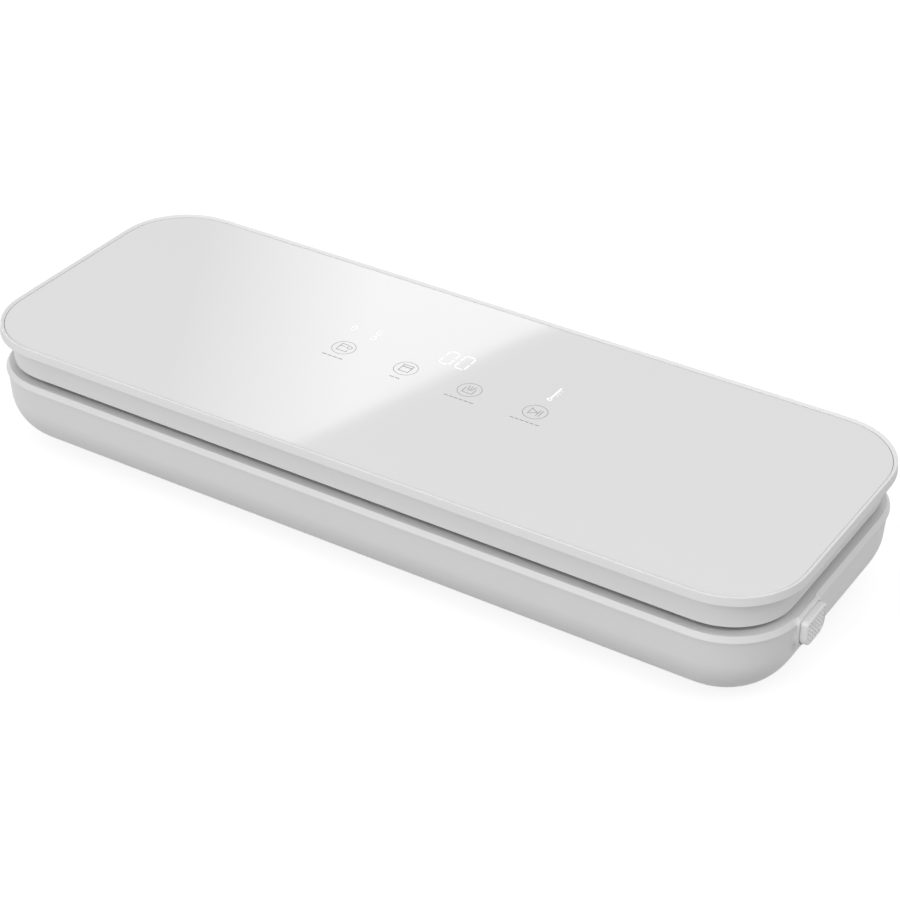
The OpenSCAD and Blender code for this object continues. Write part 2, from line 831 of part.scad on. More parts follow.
// Solenoid valve that lets air back into the trough
module vent_valve() color("dimgray") translate([body_x + valve_x, trough_y, 0])
    difference() {
        union() {
            post(0, 0, z_tub - valve_h, z_tub, valve_r);
            post(0, 0, z_tub, z_trough, nozzle_r);
            translate([-lug.x / 2, -lug.y / 2, z_tub - valve_h + lug.z]) cube(lug);
        }
        post(0, 0, z_tub - valve_h / 3, z_trough + past, valve_bore);
    }

// Pressure sensor on the underside of the trough
module pressure_sensor() color("darkslategray") translate([body_x + sensor_x, trough_y, z_tub])
    difference() {
        union() {
            hung(sensor_plate);
            translate([0, 0, -sensor_plate.z]) hung(sensor_box);
        }
        post(0, 0, -sensor_plate.z - past, past, air_r);
    }

// Box whose top is centred on the origin
module hung(size) {
    translate([-size.x / 2, -size.y / 2, -size.z]) cube(size);
}

module power_board() color("darkgreen") translate([body_x, 0, 0]) difference() {
    block([board_x, board_y, board_z], [board_x + board_l, board_y + board_w, board_z + board_t]);
    for (p = board_holes()) post(p.x, p.y, board_z - past, board_z + board_t + past,
                                 screw_r + fit_gap);
}

// Moves a part to its place on the board
module on_board(at) {
    translate([body_x + board_x + at.x, board_y + at.y, board_z + board_t]) children();
}

// Ferrite core: two outer legs and a centre leg between two yokes
module transformer_core() color("black") on_board(core_at) difference() {
    cube(core);
    for (x = [core_leg, core.x - core_leg - window_w]) translate([x, -past, core_yoke])
        cube([window_w, core.y + 2 * past, core.z - 2 * core_yoke]);
}

// Taped winding on the centre leg
module transformer_coil() color("gold") on_board(core_at) difference() {
    leg = core_leg + window_w;
    translate([core_leg, -coil_past, core_yoke])
        cube([core.x - 2 * core_leg, core.y + 2 * coil_past, core.z - 2 * core_yoke]);
    translate([leg, -coil_past - past, core_yoke - past])
        cube([core.x - 2 * leg, core.y + 2 * coil_past + 2 * past, core.z]);
    for (y = [-coil_past - past, core.y]) translate([leg - past, y, core_yoke - past])
        cube([core.x - 2 * leg + 2 * past, coil_past + past, core.z]);
}

module capacitors() color("midnightblue") {
    on_board([can_x, can_y[0]]) difference() {
        cylinder(r = can_r, h = can_h, $fn = fn_round);
        translate([0, 0, 2]) rotate_extrude($fn = fn_round) translate([can_r, 0])
            circle(r = sink, $fn = fn_round);
    }
    on_board([can_x, can_y[1]]) cylinder(r = small_can_r, h = small_can_h, $fn = fn_round);
    on_board(film_at) cube(film);
}

module relay() color("royalblue") on_board(relay_at) cube(relay_size);

// Finned aluminium heat sink
module heat_sink() color("lightslategray") on_board(fins_at) {
    cube(fin_plate);
    for (i = [0 : fin_n - 1])
        translate([i * (fin_plate.x - fin.x) / (fin_n - 1), fin_plate.y, 0]) cube(fin);
}

// Screw terminal for the mains lead
module mains_terminal() color("green") on_board(terminal_at) difference() {
    cube(terminal);
    for (x = way_x) {
        translate([x, terminal.y / 2, terminal.z / 2])
            cylinder(r = screw_r + fit_gap, h = terminal.z, $fn = fn_round);
        translate([x - way.x / 2, terminal.y / 2, screw_r]) cube(way);
    }
}

// Microswitch that reports the lowered hook
module lid_switch() color("black")
    translate([body_x + switch_x, switch_y, z_under - switch.z]) {
        translate([0, -switch.y / 2, 0]) cube(switch);
        translate([switch.x, -lever.y / 2, lever.z]) cube(lever);
    }

// Strain-relief gland in the back wall, open for a round mains cable
module cable_gland() color("dimgray") translate([body_x, back - wall_inset, 0]) difference() {
    union() {
        rod_y(gland_x, -gland_pad_t - gland_nut_t, 0, gland_z, gland_r + gland_wall);
        rod_y(gland_x, 0, gland_head_t, gland_z, gland_flange);
        rod_y(gland_x, -gland_pad_t - gland_nut_t, -gland_pad_t, gland_z, gland_flange);
    }
    rod_y(gland_x, -gland_pad_t - gland_nut_t - past, gland_head_t + past, gland_z, gland_r);
}

module feet() color("lightgray") translate([body_x, 0, 0]) for (x = foot_x, y = foot_y) {
    post(x, y, foot_tip, z_base + foot_seat, foot_r);
    post(x, y, 0, foot_tip, foot_r - foot_tip);
}

// Screw from its seat to its tip, with the head on the seat's other side
module screw(x, y, seat, tip, head) {
    post(x, y, min(seat, tip), max(seat, tip), pilot_r);
    post(x, y, tip > seat ? seat - head : seat, tip > seat ? seat : seat + head, head_r);
}

module base_screws() color("darkgray") translate([body_x, 0, 0])
    for (x = post_x, y = post_y) screw(x, y, z_seat, z_seat + screw_l - head_t, head_t);

module board_screws() color("darkgray") translate([body_x, 0, 0])
    for (p = board_holes()) screw(p.x, p.y, board_z + board_t, z_floor + sink, head_t);

// ---------- release ----------

// Long bar with a keeper window at each end, drawn in its resting place
module latch_bar() color("lightsteelblue") translate([body_x, 0, 0]) difference() {
    union() {
        block([-hook_x - latch_past, latch_y - latch_w / 2, latch_z],
              [hook_x + latch_past, latch_y + latch_w / 2, latch_z + latch_t]);
        for (s = [-1, 1])
            block([s * hook_x - plate_l / 2 + plate_step, latch_y - latch_w / 2, latch_z],
                  [s * hook_x + plate_l / 2 + plate_step, hook_y + hook_w / 2 + plate_past,
                   latch_z + latch_t]);
        block([tab_x, latch_y - tab_w / 2, latch_z - tab_h],
              [tab_x + tab_t, latch_y + tab_w / 2, latch_z + latch_t]);
    }
    for (s = [-1, 1])
        block([s * hook_x - hook_t / 2 - rest_gap, hook_y - hook_w / 2 - window_side,
               latch_z - past],
              [s * hook_x + hook_t / 2 + travel + window_side,
               hook_y + hook_w / 2 + window_side, latch_z + latch_t + past]);
}

// Push button: studded cap, stem through the wall and the shoulder that stops it
module release_button() color("white") translate([body_x, 0, 0]) {
    grip_x = hook_x + hook_t / 2 + travel + grip_gap;
    stop_x = pad_x - rest_gap;
    difference() {
        cap_prism(cap_face - cap_t, cap_face, 0);
        cap_prism(cap_face - stud_h, cap_face + past, -stud_border);
    }
    cap_studs();
    difference() {
        union() {
            block([grip_x, cap_y - stem_w / 2, stem_z - stem_h / 2],
                  [cap_face - cap_t + sink, cap_y + stem_w / 2, stem_z + stem_h / 2]);
            block([stop_x - shoulder_t, cap_y - stem_w / 2 - shoulder_w,
                   stem_z - stem_h / 2 - shoulder_h],
                  [stop_x, cap_y + stem_w / 2 + shoulder_w, stem_z + stem_h / 2 + shoulder_h]);
        }
        block([grip_x - past, cap_y - stem_w, latch_z],
              [hook_x + plate_l / 2 + plate_step, cap_y + stem_w, latch_z + latch_t]);
    }
}

// Studs in staggered rows over the cap's face, inside its border
module cap_studs() {
    half = [cap_w / 2 - stud_border - stud_r, cap_h / 2 - stud_border - stud_r];
    chin = cap_low_r - stud_border;
    for (row = [-3 : 3], col = [-5 : 5]) {
        y = (col + abs(row % 2) / 2) * stud_pitch;
        z = row * stud_pitch * sqrt(3) / 2;
        if (abs(y) <= half.x && abs(z) <= half.y
            && norm([max(abs(y) + chin - half.x, 0), max(chin - half.y - z, 0)]) <= chin)
            translate([cap_face - stud_h - fit_gap, cap_y + y, cap_z + z]) rotate([0, 90, 0])
                cylinder(r1 = stud_r, r2 = stud_r / 3, h = stud_h + fit_gap, $fn = fn_round);
    }
}

// One ring of points of the spring's wire, at an angle along the coil
function wire_ring(a, l) = [for (i = [0 : 7]) let (b = 45 * i, r = spring_r + wire_r * cos(b))
    [l * a / (360 * spring_turns) + wire_r * sin(b), r * cos(a), r * sin(a)]];

// Compression spring between the fixed rib and the bar's tab
module return_spring() color("silver")
    translate([body_x + spring_x + wire_r, latch_y, latch_z - spring_drop]) {
        steps = spring_turns * 16;
        rings = [for (k = [0 : steps]) wire_ring(k * 22.5, spring_l - 2 * wire_r)];
        points = [for (ring = rings, p = ring) p];
        sides = [for (k = [0 : steps - 1], i = [0 : 7], t = [0, 1])
            let (a = 8 * k + i, b = 8 * k + (i + 1) % 8)
            t == 0 ? [a, a + 8, b] : [b, a + 8, b + 8]];
        first = [for (i = [0 : 7]) i];
        last = [for (i = [7 : -1 : 0]) 8 * steps + i];
        polyhedron(points, concat(sides, [first, last]));
    }

// ---------- lid ----------

// Frame edge with its crest beside the glass, rebate for the glass and the hollow below
module frame_profile() {
    brow = [edge_r, z_edge];
    inner = [edge_w - crest_in, z_top + crest_h];
    outer = inner - [crest_w, 0];
    cheek = outer - [crest_bevel.x, crest_bevel.y];
    polygon([[edge_w, z_top], inner, outer, cheek, touch_point(cheek, brow, edge_r), brow,
             [edge_r, z_brow], [lid_inset, z_brow], [lid_inset, z_ledge], [edge_w, z_ledge]]);
    translate(brow) circle(r = edge_r, $fn = fn_round);
    translate([lid_inset, z_seam]) square([ledge_inset - lid_inset, z_ledge - z_seam]);
    difference() {
        translate([lid_inset - cove_r, z_seam]) square(cove_r);
        translate([lid_inset - cove_r, z_seam]) circle(r = cove_r, $fn = fn_round);
    }
}

module lid_frame() color("white") translate([body_x, 0, 0]) difference() {
    union() {
        sweep_round() frame_profile();
        for (x = lid_post_x, y = lid_post_y) post(x, y, z_lid_floor, z_seam + sink, lid_post_r);
    }
    for (x = lid_post_x, y = lid_post_y) post(x, y, z_lid_floor - past, z_seam, pilot_r);
}

module glass_panel() color("white") translate([body_x, 0, 0])
    plate(edge_w + fit_gap, z_ledge + tape_t, glass_t);

module glass_tape() color("black") translate([body_x, 0, z_ledge]) linear_extrude(tape_t)
    difference() {
        outline(lid_inset + fit_gap);
        outline(tape_in);
    }

// Lid wall with its rounded lower edge
module lid_wall() {
    low = lid_inset + lid_draft;
    polygon([[lid_inset, z_seam], [low, z_lid + edge_r], [low + edge_r, z_lid],
             [floor_edge, z_lid], [floor_edge, z_lid_floor], [low + lid_t, z_lid_floor],
             [lid_inset + lid_t, z_seam]]);
    translate([low + edge_r, z_lid + edge_r]) circle(r = edge_r, $fn = fn_round);
}

module lid_shell() color("gainsboro") translate([body_x, 0, 0]) difference() {
    cheek_x = (ear_w + cheek_w) / 2 + cheek_gap;
    z_chamber = z_lid + chamber_h;
    union() {
        sweep_round() lid_wall();
        plate(floor_edge, z_lid, lid_t);
        translate([0, trough_y, z_lid]) linear_extrude(chamber_h + trough_wall)
            rounded(trough_l + 2 * trough_wall, trough_w + 2 * trough_wall,
                    chamber_r + trough_wall);
        for (s = [-1, 1], t = [-1, 1]) hinge_cheek(s * hinge_x + t * cheek_x);
        for (s = [-1, 1], t = [-1, 1])
            post(s * (touch_l / 2 - touch_edge.x), touch_y + t * (touch_w / 2 - touch_edge.y),
                 t > 0 ? z_lid : z_chamber, touch_z, standoff_r);
    }
    translate([0, trough_y, z_lid - past]) linear_extrude(chamber_h + past)
        rounded(trough_l, trough_w, chamber_r);
    translate([0, trough_y, z_lid - past]) linear_extrude(groove_d + past)
        gasket_ring(groove_gap);
    block([-press_x - groove_gap, bar_y - press_w / 2 - groove_gap, z_lid - past],
          [press_x + groove_gap, bar_y + press_w / 2 + groove_gap, z_lid + groove_d]);
    for (s = [-1, 1]) {
        block([s * hook_x - hook_t / 2, hook_y - hook_w / 2, z_lid - past],
              [s * hook_x + hook_t / 2, hook_y + hook_w / 2, z_lid_floor + past]);
        block([s * hinge_x - ear_w / 2 - cheek_gap, hinge_y - ear_r - notch_gap, z_lid - past],
              [s * hinge_x + ear_w / 2 + cheek_gap, back, hinge_z + ear_r + notch_gap]);
        rod_x(s * hinge_x - cheek_x - cheek_w, s * hinge_x + cheek_x + cheek_w,
              hinge_y, hinge_z, pin_r);
    }
    for (x = lid_post_x, y = lid_post_y) {
        post(x, y, z_lid - past, z_lid_floor + past, screw_r + fit_gap);
        post(x, y, z_lid - past, z_lid + lid_seat, lid_seat_r);
    }
    ribbon_outlet(z_lid - past, z_lid_floor + past);
}

// Boss on one side of an ear that holds the hinge pin
module hinge_cheek(x) {
    rod_x(x - cheek_w / 2, x + cheek_w / 2, hinge_y, hinge_z, ear_r);
    block([x - cheek_w / 2, hinge_y - ear_r, z_lid + sink],
          [x + cheek_w / 2, hinge_y + ear_r, hinge_z]);
}

module upper_gasket() color("dimgray")
    translate([body_x, trough_y, gasket_mid + rest_gap / 2])
        linear_extrude(z_lid + groove_d - gasket_mid - rest_gap / 2) gasket_ring(0);

// Silicone strip that presses the bag on the heating strip
module press_strip() color("lightgray") translate([body_x, bar_y, 0])
    block([-press_x, -press_w / 2, z_cloth + rest_gap], [press_x, press_w / 2, z_lid + groove_d]);

// Hooks that drop through the deck and snap behind the latch bar
module latch_hooks() color("silver") for (s = [-1, 1])
    translate([body_x + s * hook_x, hook_y + hook_w / 2, 0]) {
        half = hook_t / 2;
        rotate([90, 0, 0]) linear_extrude(hook_w)
            polygon([[-half, z_lid_floor], [-half, z_nose + 1.5 * nose_h],
                     [-half - nose_l, z_nose + nose_h], [-half - nose_l, z_nose + nose_h / 2],
                     [-half, z_nose], [half, z_nose], [half, z_lid_floor]]);
        block([-half - nose_l, -hook_w - window_side, z_lid_floor],
              [half + nose_l, window_side, z_lid_floor + nose_l]);
    }

module touch_board() color("white") translate([body_x, touch_y, touch_z])
    block([-touch_l / 2, -touch_w / 2, 0], [touch_l / 2, touch_w / 2, board_t]);

// Conductive springs that carry each key's field to the glass
module touch_springs() color("silver") translate([body_x, 0, touch_z + board_t])
    for (x = key_x) difference() {
        post(x, key_y, 0, glass_gap, key_r);
        post(x, key_y, -past, glass_gap + past, key_r - key_wall);
    }

// Two-digit display under the glass
module display_module() color("black") translate([body_x, 0, touch_z + board_t])
    block([display[0].x, display[0].y, 0], [display[1].x, display[1].y, glass_gap - lamp_gap]);

// Light boxes of the bag-type and heat indicators
module indicator_lights() color("white") translate([body_x, 0, touch_z + board_t])
    for (x = lamp_x) block([x - lamp_w / 2, lamp_y[0], 0],
                           [x + lamp_w / 2, lamp_y[1], glass_gap - lamp_gap]);

// Flat cable from the touch board down into the lid's outlet
module ribbon_cable() color("orange") translate([body_x + ribbon_x + ribbon_w / 2, 0, 0]) {
    board_edge_y = touch_y + touch_w / 2;
    drop_y = hinge_y - (outlet_front + outlet_back) / 2;
    floor_y = drop_y - 2 * outlet_back;
    rotate([90, 0, -90]) linear_extrude(ribbon_w)
        polygon([[-board_edge_y + ribbon_w, touch_z], [-board_edge_y - past, touch_z],
                 [-floor_y, z_lid_floor + ribbon_t], [-drop_y - ribbon_t / 2, z_lid_floor + ribbon_t],
                 [-drop_y - ribbon_t / 2, z_lid + sink], [-drop_y + ribbon_t / 2, z_lid + sink],
                 [-drop_y + ribbon_t / 2, z_lid_floor], [-floor_y + ribbon_t / 2, z_lid_floor],
                 [-board_edge_y - past, touch_z - ribbon_t],
                 [-board_edge_y + ribbon_w, touch_z - ribbon_t]]);
}

module lid_screws() color("darkgray") translate([body_x, 0, 0])
    for (x = lid_post_x, y = lid_post_y)
        screw(x, y, z_lid + lid_seat, z_lid + lid_screw_l, lid_seat - seam_gap);

module hinge_pins() color("silver") translate([body_x, 0, 0])
    for (s = [-1, 1]) rod_x(s * hinge_x - ear_w / 2 - cheek_w, s * hinge_x + ear_w / 2 + cheek_w,
                            hinge_y, hinge_z, pin_r);

base_shell();
base_deck();
lower_gasket();
sealing_bar();
heating_strip();
release_tape();
strip_clamps();
suction_nozzle();
suction_hose();
pump_head();
pump_motor();
pump_mounts();
pump_crank();
vent_valve();
pressure_sensor();
power_board();
transformer_core();
transformer_coil();
capacitors();
relay();
heat_sink();
mains_terminal();
lid_switch();
cable_gland();
feet();
base_screws();
board_screws();
latch_bar();
release_button();
return_spring();
lid_frame();
glass_panel();
glass_tape();
lid_shell();
upper_gasket();
press_strip();
latch_hooks();
touch_board();
touch_springs();
display_module();
indicator_lights();
ribbon_cable();
lid_screws();
hinge_pins();
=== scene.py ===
"""Looks of a slim, glass-topped vacuum sealer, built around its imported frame.

The outer shells are surfaces worked out with numpy. A BodyOutline gives the plan of the body, a profile
of (inset, height) pairs is carried round it, and the few local features are cut in with booleans.
Lengths inside the classes are millimetres, as on a drawing. They become metres when a mesh is made.
"""
import json
import logging
import math
from dataclasses import dataclass, field
from enum import Enum
from typing import Sequence

import bmesh
import bpy
import numpy as np
from mathutils import Matrix


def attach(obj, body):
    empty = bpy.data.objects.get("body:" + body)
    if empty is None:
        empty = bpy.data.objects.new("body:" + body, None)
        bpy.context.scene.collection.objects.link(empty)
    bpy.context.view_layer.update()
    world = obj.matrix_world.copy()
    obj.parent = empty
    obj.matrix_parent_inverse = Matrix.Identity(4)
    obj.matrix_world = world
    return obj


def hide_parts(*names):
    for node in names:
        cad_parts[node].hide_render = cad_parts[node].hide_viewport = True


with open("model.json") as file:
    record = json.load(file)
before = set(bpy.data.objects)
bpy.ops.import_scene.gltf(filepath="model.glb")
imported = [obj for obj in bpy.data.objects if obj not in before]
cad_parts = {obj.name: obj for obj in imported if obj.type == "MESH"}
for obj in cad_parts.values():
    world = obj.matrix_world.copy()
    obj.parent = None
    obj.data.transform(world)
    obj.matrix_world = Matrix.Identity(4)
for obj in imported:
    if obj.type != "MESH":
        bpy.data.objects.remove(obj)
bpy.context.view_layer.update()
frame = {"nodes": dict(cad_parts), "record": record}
LOG = logging.getLogger("sealer")
MM = 0.001
CLEAR = 1.0  # how far a cutter runs past the face that it opens, in millimetres
CURVE_SAMPLES = 4001  # places at which the outline's corner is summed up
NORMAL_WEIGHT = 90  # how far the large faces lead the normals
HOLE_POINTS = 32  # points round a small hole


# ---------------------------------------------------------------- meshes


def as_object(name: str, points: np.ndarray, faces: list[list[int]]) -> bpy.types.Object:
    """Makes a mesh object at the origin from points in millimetres.

    Args:
        name: Name of the object and its mesh.
        points: Array of shape (n, 3), in millimetres.
        faces: Lists of point numbers.

    Returns:
        The linked object, its faces turned outwards.
    """
    mesh = bpy.data.meshes.new(name)
    mesh.from_pydata((points * MM).tolist(), [], faces)
    work = bmesh.new()
    work.from_mesh(mesh)
    bmesh.ops.recalc_face_normals(work, faces=work.faces)
    work.to_mesh(mesh)
    work.free()
    piece = bpy.data.objects.new(name, mesh)
    bpy.context.scene.collection.objects.link(piece)
    return piece


def grid_faces(rows: int, cols: int, wrap_rows: bool, wrap_cols: bool, start: int = 0) -> list[list[int]]:
    """Numbers the quads of a grid whose points are stored row by row.

    Args:
        rows: Number of rows.
        cols: Number of columns.
        wrap_rows: Whether the last row joins the first.
        wrap_cols: Whether the last column joins the first.
        start: Number of the grid's first point.

    Returns:
        One list of four point numbers per quad.
    """
    i = np.arange(rows if wrap_rows else rows - 1)[:, None]
    j = np.arange(cols if wrap_cols else cols - 1)[None, :]
    i2, j2 = (i + 1) % rows, (j + 1) % cols
    quads = np.stack([i * cols + j, i * cols + j2, i2 * cols + j2, i2 * cols + j], axis=-1)
    return (quads.reshape(-1, 4) + start).tolist()


def grid_object(name: str, grid: np.ndarray, wrap_rows: bool, wrap_cols: bool = True) -> bpy.types.Object:
    """Makes a closed surface from a grid of points; open ends of the rows are capped.

    Args:
        name: Name of the object.
        grid: Array of shape (rows, cols, 3), in millimetres.
        wrap_rows: Whether the last row joins the first. If not, the first and last rows become faces.
        wrap_cols: Whether the last column joins the first.

    Returns:
        The closed mesh object.
    """
    rows, cols = grid.shape[:2]
    faces = grid_faces(rows, cols, wrap_rows, wrap_cols)
    if not wrap_rows:
        faces.append(list(range(cols)))
        faces.append(list(range((rows - 1) * cols, rows * cols)))
    return as_object(name, grid.reshape(-1, 3), faces)


def rounded_path(corners: Sequence[tuple[float, float, float]], closed: bool, steps: int = 6) -> np.ndarray:
    """Rounds the corners of a polyline with arcs.

    Each corner is (u, v, radius). The arc touches both legs at a distance of radius * tan(turn / 2) from
    the corner, and is sampled evenly in angle. A radius of 0 keeps the corner sharp.

    Args:
        corners: The corners in order.
        closed: Whether the last corner joins the first.
        steps: Segments in each arc.

    Returns:
        Array of shape (n, 2).
    """
    points = np.array([c[:2] for c in corners], float)
    pieces = []
    for k, (_, _, radius) in enumerate(corners):
        at_end = not closed and k in (0, len(corners) - 1)
        if radius <= 0 or at_end:
            pieces.append(points[k:k + 1])
            continue
        here = points[k]
        towards = points[k - 1] - here
        onwards = points[(k + 1) % len(points)] - here
        towards /= np.linalg.norm(towards)
        onwards /= np.linalg.norm(onwards)
        half = 0.5 * math.acos(float(np.clip(towards @ onwards, -1, 1)))
        middle = (towards + onwards) / np.linalg.norm(towards + onwards)
        centre = here + middle * radius / math.sin(half)
        first = here + towards * radius / math.tan(half) - centre
        last = here + onwards * radius / math.tan(half) - centre
        turn = math.pi - 2 * half
        t = np.linspace(0, 1, steps + 1)[:, None]
        arc = (np.sin((1 - t) * turn) * first + np.sin(t * turn) * last) / math.sin(turn)
        pieces.append(centre + arc)
    return np.concatenate(pieces)


def rounded_rectangle(length: float, width: float, radius: float, steps: int = 8) -> np.ndarray:
    """Outline of a rectangle with rounded corners, centred on the origin, counter-clockwise.

    Args:
        length: Size along the first axis.
        width: Size along the second axis.
        radius: Radius of the corners.
        steps: Segments in each corner.

    Returns:
        Array of shape (n, 2).
    """
    a, b = length / 2, width / 2
    corners = [(a, -b, radius), (a, b, radius), (-a, b, radius), (-a, -b, radius)]
    return rounded_path(corners, closed=True, steps=steps)


def extruded(outline: np.ndarray, low: float, high: float) -> np.ndarray:
    """Carries a flat outline straight from one level to another.

    Args:
        outline: Array of shape (n, 2).
        low: First level.
        high: Second level.

    Returns:
        Grid of shape (2, n, 3): the outline's (u, v) and the level.
    """
    levels = np.array([low, high])
    return np.concatenate([np.broadcast_to(outline, (2, *outline.shape)),
                           np.broadcast_to(levels[:, None, None], (2, len(outline), 1))], axis=2)


def disc(x: float, y: float, radius: float, steps: int = 48) -> np.ndarray:
    """Circle in plan, as points in order."""
    t = np.linspace(0, 2 * math.pi, steps, endpoint=False)
    return np.stack([x + radius * np.cos(t), y + radius * np.sin(t)], axis=1)


def along_x(grid: np.ndarray) -> np.ndarray:
    """Turns a form built upright over (u, v) so that u runs along Y, v along Z and its height along X."""
    return np.stack([grid[..., 2], grid[..., 0], grid[..., 1]], axis=-1)


def along_y(grid: np.ndarray) -> np.ndarray:
    """Turns a form built upright over (u, v) so that u runs along X, v along Z and its height along Y."""
    return np.stack([grid[..., 0], grid[..., 2], grid[..., 1]], axis=-1)


def prism(name: str, outline: np.ndarray, low: float, high: float) -> bpy.types.Object:
    """Upright prism over a plan outline, from z = low to z = high."""
    return grid_object(name, extruded(outline, low, high), wrap_rows=False)


def prism_x(name: str, outline: np.ndarray, low: float, high: float) -> bpy.types.Object:
    """Prism over an outline in (y, z), from x = low to x = high."""
    return grid_object(name, along_x(extruded(outline, low, high)), wrap_rows=False)


def hinge_lug(name: str, reach: tuple[float, float], axis: tuple[float, float], radius: float, foot: float,
              points: int) -> bpy.types.Object:
    """Upright lug, round about the hinge axis and square below it.

    Args:
        name: Name of the object.
        reach: Its two ends along X.
        axis: Place of the hinge axis in (y, z).
        radius: Radius of the round head, and half of the width below.
        foot: Height of its foot.
        points: Points in the head.

    Returns:
        The closed mesh object.
    """
    y, z = axis
    t = np.linspace(0, math.pi, points)
    head = np.stack([y + radius * np.cos(t), z + radius * np.sin(t)], axis=1)
    low = np.array([[y - radius, foot], [y + radius, foot]])
    return prism_x(name, np.concatenate([head, low]), *reach)


def evaluated(piece: bpy.types.Object) -> None:
    """Applies every modifier of a piece to its mesh.

    Args:
        piece: The mesh object.
    """
    graph = bpy.context.evaluated_depsgraph_get()
    mesh = bpy.data.meshes.new_from_object(piece.evaluated_get(graph))
    piece.modifiers.clear()
    piece.data = mesh


def combine(piece: bpy.types.Object, tool: bpy.types.Object, operation: str) -> None:
    """Cuts a tool out of a piece, or joins it to the piece, and deletes the tool.

    Args:
        piece: The mesh object that is kept.
        tool: The mesh object that is used up.
        operation: DIFFERENCE or UNION.
    """
    change = piece.modifiers.new("shape", "BOOLEAN")
    change.operation, change.object, change.solver = operation, tool, "EXACT"
    evaluated(piece)
    bpy.data.objects.remove(tool)


def cut(piece: bpy.types.Object, *tools: bpy.types.Object) -> None:
    """Cuts each tool out of a piece."""
    for tool in tools:
        combine(piece, tool, "DIFFERENCE")


def join(piece: bpy.types.Object, *tools: bpy.types.Object) -> None:
    """Joins each tool to a piece."""
    for tool in tools:
        combine(piece, tool, "UNION")


def smooth(piece: bpy.types.Object, crease_deg: float = 32.0) -> None:
    """Shades a piece smoothly up to a crease angle, with the flat faces leading the normals.

    Args:
        piece: The mesh object.
        crease_deg: Edges that turn by more than this stay sharp.
    """
    mesh = piece.data
    mesh.polygons.foreach_set("use_smooth", np.ones(len(mesh.polygons), bool))
    mesh.set_sharp_from_angle(angle=math.radians(crease_deg))
    weighting = piece.modifiers.new("normals", "WEIGHTED_NORMAL")
    weighting.keep_sharp = True
    weighting.weight = NORMAL_WEIGHT


# ---------------------------------------------------------------- plan of the body


@dataclass(frozen=True)
class BodyOutline:
    """Plan of the body: a rectangle whose corners ease in and out of their curve.

    The curvature climbs evenly from zero to 1 / tight_radius over the first ramp_deg of turning, holds,
    and falls again, so that reflections run round the corner without a break.
    """

    half_length: float = 195.0
    half_width: float = 72.5
    tight_radius: float = 33.2
    ramp_deg: float = 9.0
    centre_x: float = -1.25

    def corner(self, count: int) -> tuple[np.ndarray, np.ndarray]:
        """Corner from the end's straight to the long side's straight.

        The heading is the integral of the curvature along the curve, and the position is the integral
        of the heading's cosine and sine.

        Args:
            count: Number of points that are returned.

        Returns:
            Points relative to the corner's start, and the heading angle at each.
        """
        ramp = 2 * math.radians(self.ramp_deg) * self.tight_radius
        hold = (math.pi / 2 - 2 * math.radians(self.ramp_deg)) * self.tight_radius
        total = 2 * ramp + hold
        s = np.linspace(0, total, CURVE_SAMPLES)
        curvature = np.clip(np.minimum(s, total - s) / ramp, 0, 1) / self.tight_radius
        step = s[1]
        heading = math.pi / 2 + np.concatenate([[0], np.cumsum((curvature[1:] + curvature[:-1]) * step / 2)])
        direction = np.stack([np.cos(heading), np.sin(heading)], axis=1)
        moves = (direction[1:] + direction[:-1]) * step / 2
        points = np.concatenate([np.zeros((1, 2)), np.cumsum(moves, axis=0)])
        pick = np.linspace(0, total, count)
        return (np.stack([np.interp(pick, s, points[:, 0]), np.interp(pick, s, points[:, 1])], axis=1),
                np.interp(pick, s, heading))

    def sampled(self, corner_points: int = 49, straight_points: int = 9) -> tuple[np.ndarray, np.ndarray]:
        """Points and outward normals round the whole outline, counter-clockwise from the right end.

        Args:
            corner_points: Points in each corner.
            straight_points: Points strictly inside each straight.

        Returns:
            Two arrays of shape (n, 2).
        """
        local, heading = self.corner(corner_points)
        reach = np.array([-local[-1, 0], local[-1, 1]])
        start = np.array([self.half_length, self.half_width - reach[1]])
        first = start + local
        normal = np.stack([np.sin(heading), -np.cos(heading)], axis=1)
        flip_x, flip_y = np.array([-1, 1]), np.array([1, -1])
        corners = [(first, normal), (first[::-1] * flip_x, normal[::-1] * flip_x),
                   (-first, -normal), (first[::-1] * flip_y, normal[::-1] * flip_y)]
        t = np.linspace(0, 1, straight_points + 2)[1:-1, None]
        points, normals = [], []
        for k, (corner_line, corner_normal) in enumerate(corners):
            following = corners[(k + 1) % 4][0][0]
            points += [corner_line, corner_line[-1] * (1 - t) + following * t]
            normals += [corner_normal, np.repeat(corner_normal[-1:], straight_points, axis=0)]
        return np.concatenate(points) + [self.centre_x, 0], np.concatenate(normals)

    def carry(self, profile: np.ndarray, corner_points: int = 49, straight_points: int = 9) -> np.ndarray:
        """Carries a profile round the outline.

        A profile point (d, z) lies at the outline's point less d times its outward normal, at height z.

        Args:
            profile: Array of shape (rows, 2) of (inset, height).
            corner_points: Points in each corner.
            straight_points: Points inside each straight.

        Returns:
            Grid of shape (rows, columns, 3).
        """
        points, normals = self.sampled(corner_points, straight_points)
        plan = points[None] - profile[:, :1, None] * normals[None]
        height = np.broadcast_to(profile[:, 1, None, None], (*plan.shape[:2], 1))
        return np.concatenate([plan, height], axis=2)


OUTLINE = BodyOutline()
# Points in each corner and in each straight of the outline
BASE_POINTS = (61, 25)
LID_POINTS = (81, 25)
WALL_POINTS = (241, 61)


# ---------------------------------------------------------------- finishes


class Channel(Enum):
    """Sockets of the main shader that a pattern may drive."""

    COLOUR = "Base Color"
    ROUGHNESS = "Roughness"
    NORMAL = "Normal"


